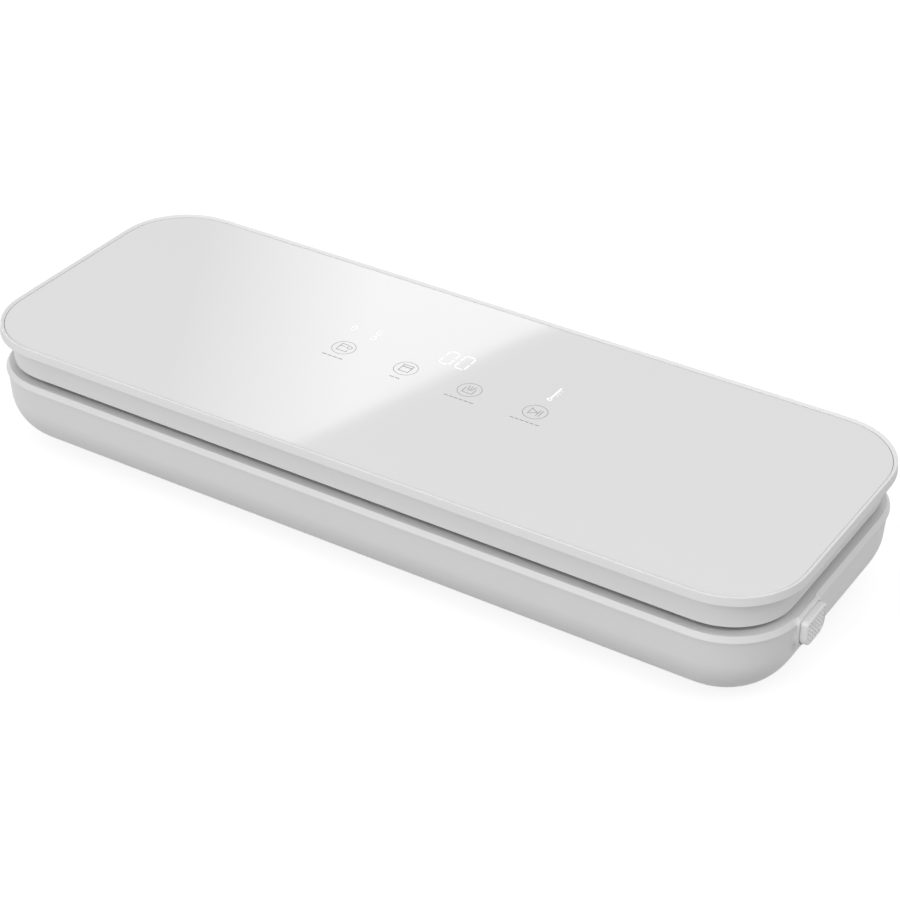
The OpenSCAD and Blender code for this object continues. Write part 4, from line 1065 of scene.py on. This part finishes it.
@dataclass
class ReleaseButton:
    """Cap with rounded edges and a field of small pyramids, and its stem."""

    face_x: float = 196.25
    depth: float = 3.5
    edge: float = 0.75
    edge_points: int = 7
    step: float = 0.06
    border: float = 1.1
    sunk: float = 0.6
    pitch: float = 2.0
    stud: tuple[float, float] = (0.72, 0.42)
    columns: int = 7
    rows: int = 5
    shift: tuple[float, float] = (0.25, -0.25)
    stud_margin: float = 0.9
    stud_slack: float = 0.45
    stud_levels: tuple[float, float] = (0.02, 0.05)  # foot below the sunk face, crown below the border
    stem_plan: tuple[float, float, float, float] = (184.9, 16.5, 10.0, 0.3)  # X, length, width, corner
    stem_z: tuple[float, float] = (25.25, 30.25)
    stop_plan: tuple[float, float, float, float] = (185.95, 2.0, 13.0, 0.3)
    stop_z: tuple[float, float] = (24.25, 31.25)

    def cap(self) -> bpy.types.Object:
        """Rings that shrink inwards over a rounded edge; inside the border the face is sunk.

        At an angle a round the edge, a ring has shrunk by edge * (1 - cos a) and lies edge * (1 - sin a)
        behind the face.

        Returns:
            The dressed piece.
        """
        turn = np.radians(np.linspace(0, 90, self.edge_points))
        rows = [(0.0, self.depth), (0.0, self.edge)]
        rows += [(-self.edge * (1 - math.cos(a)), self.edge * (1 - math.sin(a))) for a in turn]
        rows += [(-self.border, 0.0), (-self.border - self.step, self.step),
                 (-self.border - 2 * self.step, self.sunk)]
        plans = [CAP.points(grow, CAP.ring_steps) for grow, _ in rows]
        rings = [np.column_stack([np.full(len(plan), self.face_x - depth), plan])
                 for plan, (_, depth) in zip(plans, rows)]
        piece = grid_object("button_cap", np.array(rings), wrap_rows=False)
        smooth(piece)
        dress(piece, "button_white", "release", "release_button")
        return piece

    def studs(self) -> bpy.types.Object:
        """Blunt four-sided pyramids in a square grid on the sunk face, where it has room for them.

        Returns:
            The dressed piece.
        """
        y, z = np.meshgrid(np.arange(self.columns) - (self.columns - 1) / 2,
                           np.arange(self.rows) - (self.rows - 1) / 2, indexing="ij")
        centres = np.stack([y, z], axis=-1).reshape(-1, 2) * self.pitch + self.shift
        reach = self.border + self.stud_margin
        a, b, chin = CAP.width / 2 - reach, CAP.height / 2 - reach, CAP.chin - reach
        low = np.maximum(np.abs(centres[:, 0]) - (a - chin), 0)
        deep = np.maximum(-centres[:, 1] - (b - chin), 0)
        centres = centres[np.hypot(low, deep) <= chin + self.stud_slack] + [CAP.centre_y, CAP.centre_z]
        square = np.array([[-1, -1], [1, -1], [1, 1], [-1, 1]], float)
        foot, crest = self.stud_levels
        base = np.column_stack([np.full(4, self.face_x - self.sunk - foot), square * self.stud[0]])
        crown = np.column_stack([np.full(4, self.face_x - crest), square * self.stud[1]])
        stud = np.concatenate([base, crown])
        offset = np.column_stack([np.zeros(len(centres)), centres])
        points = (stud[None] + offset[:, None]).reshape(-1, 3)
        first = len(stud) * np.arange(len(centres))[:, None, None]
        faces = (np.array(BOX_FACES)[None] + first).reshape(-1, 4).tolist()
        piece = as_object("button_studs", points, faces)
        dress(piece, "button_white", "release", "release_button")
        return piece

    def stem(self) -> bpy.types.Object:
        """Stem behind the cap with the shoulder that stops it.

        Returns:
            The dressed piece.
        """
        stem, stop = (prism(name, rounded_rectangle(*plan[1:]) + [plan[0], CAP.centre_y], *levels)
                      for name, plan, levels in (("button_stem", self.stem_plan, self.stem_z),
                                                 ("shoulder", self.stop_plan, self.stop_z)))
        join(stem, stop)
        dress(stem, "button_white", "release", "release_button")
        return stem


# ---------------------------------------------------------------- lid


@dataclass
class Lid:
    """Frame with a low crest round the glass, and the pan below with its chamber, cheeks and notches."""

    glass_edge: float = 2.15
    glass_gap: float = 0.16
    crest_inset: float = 0.6
    brow_inset: float = 0.12
    wall_inset: float = 5.3
    inner_inset: float = 14.9
    cove: float = 2.4
    frame_rounds: tuple[float, float, float] = (0.15, 0.4, 0.25)  # beside the glass, crest, brow
    frame_steps: int = 8
    glass_rounds: tuple[float, float] = (0.25, 0.35)  # lower and upper edge
    glass_steps: int = 6
    gloss_drop: float = 0.04
    glass_lift: float = 0.3
    glass_inset: float = 20.0
    pan_inset: float = 14.0
    pan_draft: float = 0.45
    pan_wall: float = 2.2
    pan_foot: float = 1.6
    pan_heel: float = 0.4
    pan_rounds: tuple[float, float, float] = (0.8, 0.2, 0.6)  # foot, heel, inner corner
    pan_steps: int = 10
    dome_rise: float = 8.0
    chamber_rise: float = 6.0
    strip_seat: tuple[float, float, float] = (314.0, 10.2, 0.3)  # length, width, corner radius
    seat_depth: float = 1.2
    hook_hole: tuple[float, float, float] = (4.0, 10.0, 0.2)  # length, width, corner radius
    notch: tuple[float, float, float] = (13.0, 22.0, 0.4)  # length, width, corner radius
    notch_reach: float = 4.7
    cheek_gap: float = 9.5
    cheek: tuple[float, float] = (6.0, 4.0)  # length along X, radius
    cheek_points: int = 21
    screw_places: tuple[float, ...] = (-150.0, -60.0, 60.0, 150.0)
    screw_side: float = 61.0
    screw_radius: float = 3.0

    def frame(self) -> bpy.types.Object:
        """Frame section: short rise to the crest, steep flank, underside and hollow down to the seam.

        Returns:
            The dressed piece.
        """
        beside, crest, brow = self.frame_rounds
        profile = rounded_path([
            (self.glass_edge, Z.top, beside), (self.crest_inset, Z.crest, crest),
            (self.brow_inset, Z.brow, brow), (self.wall_inset, Z.brow, self.cove),
            (self.wall_inset, Z.seam, 0), (self.inner_inset, Z.seam, 0), (self.inner_inset, Z.ledge, 0),
            (self.glass_edge, Z.ledge, 0)], closed=True, steps=self.frame_steps)
        piece = grid_object("lid_rim", OUTLINE.carry(profile, *LID_POINTS), wrap_rows=True)
        smooth(piece)
        dress(piece, "frame_white", "lid", "lid_frame")
        return piece

    def glass(self) -> bpy.types.Object:
        """Flat glass with ground edges, closed by its two faces.

        Returns:
            The dressed piece.
        """
        edge = self.glass_edge + self.glass_gap
        top, low = Z.top - self.gloss_drop, Z.ledge + self.glass_lift
        round_low, round_top = self.glass_rounds
        profile = rounded_path([(self.glass_inset, low, 0), (edge, low, round_low), (edge, top, round_top),
                                (self.glass_inset, top, 0)], closed=False, steps=self.glass_steps)
        piece = grid_object("glass_top", OUTLINE.carry(profile, *LID_POINTS), wrap_rows=False)
        smooth(piece)
        dress(piece, "glass_white", "lid", "glass_panel")
        return piece

    def pan(self, base: BaseHousing) -> bpy.types.Object:
        """Lid pan: drafted wall with a rounded lower edge, floor, chamber, grooves and hinge parts.

        Args:
            base: The base, whose trough, gasket, hooks and hinges the lid's own lie over.

        Returns:
            The dressed piece.
        """
        x0, low = OUTLINE.centre_x, Z.lid_low - CLEAR
        foot = self.wall_inset + self.pan_draft
        round_foot, round_heel, round_in = self.pan_rounds
        profile = rounded_path([
            (self.pan_inset, Z.lid_low, 0), (foot + self.pan_foot, Z.lid_low, round_foot),
            (self.wall_inset, Z.lid_low + self.pan_heel, round_heel), (self.wall_inset, Z.seam, 0),
            (self.wall_inset + self.pan_wall, Z.seam, 0), (foot + self.pan_wall, Z.lid_floor, round_in),
            (self.pan_inset, Z.lid_floor, 0)], closed=False, steps=self.pan_steps)
        piece = grid_object("lid_pan", OUTLINE.carry(profile, *LID_POINTS), wrap_rows=False)
        join(piece, base.trough_form("dome", Z.lid_floor - CLEAR, Z.lid_low + self.dome_rise,
                                     base.trough_wall))
        hinge_x, hinge_y = base.hinge
        half = self.cheek[0] / 2
        for side in (-1, 1):
            for hand in (-1, 1):
                x = x0 + side * hinge_x + hand * self.cheek_gap
                join(piece, hinge_lug("cheek", (x - half, x + half), (hinge_y, Z.hinge), self.cheek[1],
                                      Z.lid_low + CLEAR / 2, self.cheek_points))
        cut(piece, base.trough_form("chamber", low, Z.lid_low + self.chamber_rise),
            base.groove(low, Z.lid_low + base.groove_depth),
            prism("strip_seat", rounded_rectangle(*self.strip_seat) + [x0, base.bar_y], low,
                  Z.lid_low + self.seat_depth))
        for side in (-1, 1):
            hook = rounded_rectangle(*self.hook_hole) + [x0 + side * base.hook[0], base.hook[1]]
            cut(piece, prism("hook_hole", hook, low, Z.lid_floor + CLEAR))
            notch_y = hinge_y - self.notch_reach + self.notch[1] / 2
            notch = rounded_rectangle(*self.notch) + [x0 + side * hinge_x, notch_y]
            cut(piece, prism("notch", notch, low, Z.hinge + self.notch_reach))
            for place in self.screw_places:
                hole = disc(x0 + place, side * self.screw_side, self.screw_radius, HOLE_POINTS)
                cut(piece, prism("screw_seat", hole, low, Z.lid_low + self.seat_depth))
        cut(piece, base.ribbon_way("ribbon_hole", low, Z.lid_floor + CLEAR))
        smooth(piece)
        dress(piece, "shell_white", "lid", "lid_shell")
        return piece


MITRE_LIMIT = 0.4  # least cosine of half a corner's turn that still lengthens its mitre


@dataclass(frozen=True)
class Stroke:
    """A drawn line: its path in plan, its width, and whether it returns to its start."""

    path: np.ndarray
    width: float
    closed: bool = False

    def bar(self, low: float, high: float, first: int) -> tuple[np.ndarray, list[list[int]]]:
        """Flat bar along the path, with mitred corners.

        Each point moves sideways along the mean of its two legs' normals, lengthened so that the bar
        keeps its width round a corner.

        Args:
            low: Height of its lower face.
            high: Height of its upper face.
            first: Number of its first point.

        Returns:
            The points and the quads of the bar. Its narrow ends stay open.
        """
        path, closed = self.path, self.closed
        if closed:
            before, after = np.roll(path, 1, axis=0), np.roll(path, -1, axis=0)
        else:
            before = np.concatenate([2 * path[:1] - path[1:2], path[:-1]])
            after = np.concatenate([path[1:], 2 * path[-1:] - path[-2:-1]])
        coming, going = path - before, after - path
        coming /= np.linalg.norm(coming, axis=1, keepdims=True)
        going /= np.linalg.norm(going, axis=1, keepdims=True)
        normal = np.stack([-(coming + going)[:, 1], (coming + going)[:, 0]], axis=1)
        normal /= np.linalg.norm(normal, axis=1, keepdims=True)
        leg = np.stack([-coming[:, 1], coming[:, 0]], axis=1)
        reach = self.width / 2 / np.clip((normal * leg).sum(axis=1, keepdims=True), MITRE_LIMIT, 1)
        left, right = path + normal * reach, path - normal * reach
        corners = [np.column_stack([side, np.full(len(path), level)])
                   for side, level in ((left, low), (right, low), (right, high), (left, high))]
        return np.stack(corners, axis=1).reshape(-1, 3), grid_faces(len(path), 4, closed, True, first)


@dataclass
class GlassMarks:
    """Printed key circles with their pictograms, and the lit digits and signs."""

    key_x: tuple[float, ...] = (-47.6, -15.45, 16.7, 48.9)
    key_y: float = 4.95
    key_radius: float = 5.35
    ring: float = 0.26
    line: float = 0.34
    bold: float = 0.5
    bars: tuple[float, ...] = (11.0, 5.6, 15.0, 14.6)
    bar_y: float = -3.6
    dash_pitch: float = 2.6
    dash_gap: float = 0.6
    digit_left: tuple[float, ...] = (-6.9, 1.0)
    digit_size: tuple[float, float] = (5.0, 10.6)
    digit_bottom: float = 17.4
    digit_gap: float = 0.55
    digit_line: float = 0.85
    drops: tuple[tuple[float, float], ...] = ((-53.3, 21.3), (-41.5, 18.6), (-41.5, 23.6))
    drop_size: tuple[float, float, float] = (1.15, 0.55, 1.25)  # radius, length of the tip, stretch
    drop_line: float = 0.4
    gauge_x: float = 48.9
    gauge_y: tuple[float, float] = (18.4, 27.2)
    gauge_line: float = 0.9
    bulb: tuple[float, float, float] = (17.0, 0.9, 0.6)  # Y, radius, line
    ticks: tuple[float, ...] = (21.0, 23.0, 25.0)
    tick: tuple[float, float, float] = (0.9, 1.9, 0.4)  # start, end, line
    low: float = Z.top - 0.04
    high: float = Z.top - 0.02
    strokes: dict[str, list[Stroke]] = field(default_factory=dict)

    def add(self, kind: str, path: Sequence[Sequence[float]], width: float, closed: bool = False,
            at: tuple[float, float] = (0.0, 0.0)) -> None:
        """Notes one stroke for the piece of a kind, its path counted from a place in plan."""
        place = np.array(at) + [OUTLINE.centre_x, 0]
        self.strokes.setdefault(kind, []).append(Stroke(np.array(path, float) + place, width, closed))

    def pictograms(self) -> list[list[tuple[Sequence[Sequence[float]], float, bool]]]:
        """Strokes of the four signs about their keys' centres.

        Returns:
            For each key, its strokes as (path, width, closed): a bag with a hose, a bag with a seam, a bag
            with three wisps, and start and stop.
        """
        line = self.line
        hose = [([(1.0, 2.9), (-2.5, 2.9), (-2.5, -2.5), (2.5, -2.5), (2.5, -1.0)], line, False),
                ([(-2.5, 1.1), (0, 1.1)], line, False), (disc(2.2, 1.2, 1.1, 24), line, True)]
        seam = [([(-2.4, 2.8), (2.4, 2.8), (2.4, -2.5), (-2.4, -2.5)], line, True),
                ([(-2.4, 1.2), (2.4, 1.2)], self.bold, False)]
        wisps = [([(-2.5, 1.6), (-2.5, -2.5), (2.5, -2.5), (2.5, 1.6)], line, False)]
        wisps += [([(x, 3.2), (x * 0.75, 1.2), (x * 0.45, -0.5)], line, False) for x in (-1.6, 0.0, 1.6)]
        start = [([(-2.5, -2.3), (-2.5, 2.3), (1.0, 0)], line, True)]
        start += [([(x, -2.5), (x, 2.5)], line, False) for x in (1.5, 2.7)]
        return [hose, seam, wisps, start]

    def draw_keys(self) -> None:
        """Circles, a row of dashes below each, and the pictograms."""
        kind = "key_marks"
        for x, wide in zip(self.key_x, self.bars):
            self.add(kind, disc(0, 0, self.key_radius, 72), self.ring, True, (x, self.key_y))
            count = max(2, round(wide / self.dash_pitch))
            for k in range(count):
                dash = [(0, 0), (wide / count - self.dash_gap, 0)]
                self.add(kind, dash, self.bold, at=(x - wide / 2 + k * wide / count, self.bar_y))
        for x, sign in zip(self.key_x, self.pictograms()):
            for path, width, closed in sign:
                self.add(kind, path, width, closed, (x, self.key_y))

    def draw_lights(self) -> None:
        """Two digits of six bars each, one drop, two drops and a thermometer.

        A drop is a circle whose radius grows by the sixth power of the cosine towards its tip.
        """
        kind = "lit_marks"
        wide, high = self.digit_size
        gap = self.digit_gap
        for left in self.digit_left:
            at = (left, self.digit_bottom)
            for x in (0, wide):
                for low in (0, high / 2):
                    self.add(kind, [(x, low + gap), (x, low + high / 2 - gap)], self.digit_line, at=at)
            for y in (0, high):
                self.add(kind, [(gap, y), (wide - gap, y)], self.digit_line, at=at)
        radius, tip, stretch = self.drop_size
        t = np.linspace(0, math.tau, 24, endpoint=False)
        reach = radius + tip * np.maximum(np.cos(t), 0) ** 6
        drop = np.stack([reach * np.sin(t), reach * np.cos(t) * stretch], axis=1)
        for place in self.drops:
            self.add(kind, drop, self.drop_line, True, place)
        at = (self.gauge_x, 0.0)
        bulb_y, bulb_radius, bulb_line = self.bulb
        tick_start, tick_end, tick_line = self.tick
        self.add(kind, [(0, y) for y in self.gauge_y], self.gauge_line, at=at)
        self.add(kind, disc(0, bulb_y, bulb_radius, 20), bulb_line, True, at)
        for y in self.ticks:
            self.add(kind, [(tick_start, y), (tick_end, y)], tick_line, at=at)

    def build(self) -> None:
        """Makes one piece for the printed marks and one for the lit ones."""
        self.draw_keys()
        self.draw_lights()
        for name, finish in (("key_marks", MARK_GREY), ("lit_marks", MARK_WHITE)):
            points, faces, count = [], [], 0
            for stroke in self.strokes[name]:
                some, quads = stroke.bar(self.low, self.high, count)
                faces += quads
                points.append(some)
                count += len(some)
            piece = as_object(name, np.concatenate(points), faces)
            piece.data.materials.append(finish.material())
            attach(piece, "lid")
            LOG.info("%s has %d strokes", name, len(self.strokes[name]))


# ---------------------------------------------------------------- nodes that stay


def dress_nodes() -> None:
    """Gives every CAD node that stays visible its procedural finish."""
    slots = {row["node"]: row["material_slot"] for row in frame["record"]["subparts"]}
    for name, node in frame["nodes"].items():
        material = FINISHES[slots[name]].material()
        if node.material_slots:
            for slot in node.material_slots:
                slot.material = material
        else:
            node.data.materials.append(material)
    LOG.info("%d nodes dressed", len(frame["nodes"]))


# ---------------------------------------------------------------- studio


@dataclass
class Studio:
    """Camera, floor, pale surroundings with one soft box, and soft lamps."""

    focal_px: float = 2405.07  # in pixels of a view that is frame_px wide
    azimuth: float = 31.77
    elevation: float = 33.11
    roll: float = 0.64
    offset: tuple[float, float, float] = (-8.47, 28.13, -1022.29)
    frame_px: int = 900
    sensor_mm: float = 36.0
    floor_tone: float = 0.3
    floor_glow: float = 0.80
    floor_reach: float = 4000.0
    floor_roughness: float = 0.9
    clip: tuple[float, float] = (0.01, 50.0)
    world_level: float = 0.76
    box_glow: float = 2.05
    box_blur: float = 4.0
    box_edge: tuple[tuple[float, float], tuple[float, float]] = ((15.0, 55.0), (-13.0, -50.0))
    box_fade: tuple[tuple[float, float], tuple[float, float]] = ((-63.0, 55.0), (-10.0, -50.0))
    box_end: tuple[float, float] = (-163.0, 55.0)
    lamps: tuple[tuple[str, tuple[float, float, float], float, float], ...] = (  # name, metres, size, watts
        ("front", (-0.3, -1.8, 0.9), 1.2, 13.0), ("right", (1.2, -0.3, 1.6), 1.0, 4.5))

    def turned(self) -> np.ndarray:
        """Works out the camera's turn from its azimuth, elevation and roll.

        Returns:
            Array of shape (3, 3) whose rows are the camera's side, up and back directions.
        """
        az, el, roll = (math.radians(v) for v in (self.azimuth, self.elevation, self.roll))
        back = np.array([math.sin(az) * math.cos(el), -math.cos(az) * math.cos(el), math.sin(el)])
        side = np.cross([0, 0, 1], back)
        side /= np.linalg.norm(side)
        up = np.cross(back, side)
        return np.array([math.cos(roll) * side + math.sin(roll) * up,
                         -math.sin(roll) * side + math.cos(roll) * up, back])

    def place(self) -> np.ndarray:
        """Camera's place in millimetres; its solved offset starts in the middle of the glass top."""
        return -self.turned().T @ np.array(self.offset) + [OUTLINE.centre_x, 0, Z.top]

    def camera(self) -> None:
        """Camera from its solved turn and offset."""
        lens = bpy.data.cameras.new("camera")
        lens.sensor_width = self.sensor_mm
        lens.lens = self.focal_px * self.sensor_mm / self.frame_px
        lens.clip_start, lens.clip_end = self.clip
        camera = bpy.data.objects.new("camera", lens)
        matrix = np.eye(4)
        matrix[:3, :3] = self.turned().T
        matrix[:3, 3] = self.place() * MM
        camera.matrix_world = Matrix(matrix.tolist())
        bpy.context.scene.collection.objects.link(camera)
        bpy.context.scene.camera = camera

    def floor(self) -> None:
        """Pale floor that shows white to the camera and darkens only under the object."""
        corners = np.array([[-1, -1, 0], [1, -1, 0], [1, 1, 0], [-1, 1, 0]]) * self.floor_reach
        floor = as_object("floor", corners, [[0, 1, 2, 3]])
        material = bpy.data.materials.new("pale floor")
        material.use_nodes = True
        tree = material.node_tree
        shader = tree.nodes["Principled BSDF"]
        shader.inputs["Base Color"].default_value = (self.floor_tone,) * 3 + (1,)
        shader.inputs["Roughness"].default_value = self.floor_roughness
        shader.inputs["Specular IOR Level"].default_value = 0.0
        glow = tree.nodes.new("ShaderNodeEmission")
        glow.inputs["Color"].default_value = (1, 1, 1, 1)
        tree.links.new(self.math(tree, "MULTIPLY", self.seen(tree), self.floor_glow), glow.inputs["Strength"])
        total = tree.nodes.new("ShaderNodeAddShader")
        tree.links.new(shader.outputs[0], total.inputs[0])
        tree.links.new(glow.outputs[0], total.inputs[1])
        tree.links.new(total.outputs[0], tree.nodes["Material Output"].inputs["Surface"])
        floor.data.materials.append(material)

    def math(self, tree: bpy.types.NodeTree, operation: str, *values: bpy.types.NodeSocket | float) \
            -> bpy.types.NodeSocket:
        """Adds a Math node.

        Args:
            tree: The node tree.
            operation: Name of the operation.
            values: Its inputs, each a socket or a number.

        Returns:
            The node's result.
        """
        node = tree.nodes.new("ShaderNodeMath")
        node.operation = operation
        for socket, value in zip(node.inputs, values):
            if isinstance(value, (int, float)):
                socket.default_value = value
            else:
                tree.links.new(value, socket)
        return node.outputs[0]

    def seen(self, tree: bpy.types.NodeTree) -> bpy.types.NodeSocket:
        """Measures whether a ray is seen.

        Args:
            tree: The node tree.

        Returns:
            1 for the camera and for what glossy and clear surfaces show, otherwise 0.
        """
        path = tree.nodes.new("ShaderNodeLightPath")
        first = self.math(tree, "MAXIMUM", path.outputs["Is Camera Ray"], path.outputs["Is Glossy Ray"])
        return self.math(tree, "MAXIMUM", first, path.outputs["Is Transmission Ray"])

    def thrown(self, spot: tuple[float, float]) -> np.ndarray:
        """Direction in which the glass top throws the line of sight through a spot on it."""
        ray = np.array([spot[0] + OUTLINE.centre_x, spot[1], Z.top]) - self.place()
        return ray * [1, 1, -1] / np.linalg.norm(ray)

    def beyond(self, tree: bpy.types.NodeTree, line: tuple[tuple[float, float], tuple[float, float]],
               until: tuple[float, float]) -> bpy.types.NodeSocket:
        """Rises evenly from 0 at a line on the glass to 1 at a spot beyond it, as seen in its reflection.

        The plane through the two thrown lines of sight is the 0; the sine of the angle to it is the measure.

        Args:
            tree: The world's node tree.
            line: Two spots on the glass.
            until: Spot where the measure reaches 1.

        Returns:
            The measure of the direction that is looked in.
        """
        normal = np.cross(*(self.thrown(spot) for spot in line))
        normal /= np.linalg.norm(normal)
        reach = float(self.thrown(until) @ normal)
        along = tree.nodes.new("ShaderNodeVectorMath")
        along.operation = "DOT_PRODUCT"
        along.inputs[1].default_value = (normal / reach).tolist()
        tree.links.new(tree.nodes.new("ShaderNodeTexCoord").outputs["Generated"], along.inputs[0])
        return along.outputs["Value"]

    def world(self) -> None:
        """Even pale surroundings, plain white where they are seen, and a soft box that shows in gloss only.

        The box has one crisp edge and fades evenly on its far side.
        """
        world = bpy.data.worlds.new("studio")
        bpy.context.scene.world = world
        world.use_nodes = True
        tree = world.node_tree
        background = tree.nodes["Background"]
        background.inputs["Color"].default_value = (1, 1, 1, 1)
        level = self.math(tree, "MULTIPLY_ADD", self.seen(tree), 1 - self.world_level, self.world_level)
        x, y = self.box_edge[0]
        near = self.beyond(tree, self.box_edge, (x - self.box_blur, y))
        far = self.beyond(tree, self.box_fade, self.box_end)
        crisp = self.math(tree, "MINIMUM", self.math(tree, "MAXIMUM", near, 0.0), 1.0)
        past = self.math(tree, "SUBTRACT", 1.0, self.math(tree, "MAXIMUM", far, 0.0))
        inside = self.math(tree, "MULTIPLY", crisp, self.math(tree, "MAXIMUM", past, 0.0))
        gloss = tree.nodes.new("ShaderNodeLightPath").outputs["Is Glossy Ray"]
        box = self.math(tree, "MULTIPLY", self.math(tree, "MULTIPLY", inside, gloss), self.box_glow)
        tree.links.new(self.math(tree, "ADD", level, box), background.inputs["Strength"])

    def lamp(self, name: str, place: tuple[float, float, float], size: float, power: float) -> None:
        """Square area lamp, turned to the object.

        Args:
            name: Name of the lamp.
            place: Its place in metres.
            size: Length of its sides in metres.
            power: Its power in watts.
        """
        data = bpy.data.lights.new(name, "AREA")
        data.size, data.energy = size, power
        lamp = bpy.data.objects.new(name, data)
        bpy.context.scene.collection.objects.link(lamp)
        direction = np.array(place) / np.linalg.norm(place)
        side = np.cross([0, 1, 0.01], direction)  # the small lift serves a lamp straight in front
        side /= np.linalg.norm(side)
        matrix = np.eye(4)
        matrix[:3, :3] = np.stack([side, np.cross(direction, side), direction], axis=1)
        matrix[:3, 3] = place
        lamp.matrix_world = Matrix(matrix.tolist())

    def build(self) -> None:
        """Sets up everything that isn't the object."""
        bpy.context.scene.view_settings.view_transform = "Standard"
        self.camera()
        self.floor()
        self.world()
        for row in self.lamps:
            self.lamp(*row)


def main() -> None:
    """Builds the studio and the object's pieces in order."""
    logging.basicConfig(level=logging.INFO, format="%(name)s: %(message)s")
    Studio().build()
    dress_nodes()
    base = BaseHousing()
    base.shell()
    base.boss()
    base.deck()
    base.gaskets()
    button = ReleaseButton()
    button.cap()
    button.studs()
    button.stem()
    lid = Lid()
    lid.frame()
    lid.glass()
    lid.pan(base)
    GlassMarks().build()


if __name__ == "__main__":
    main()
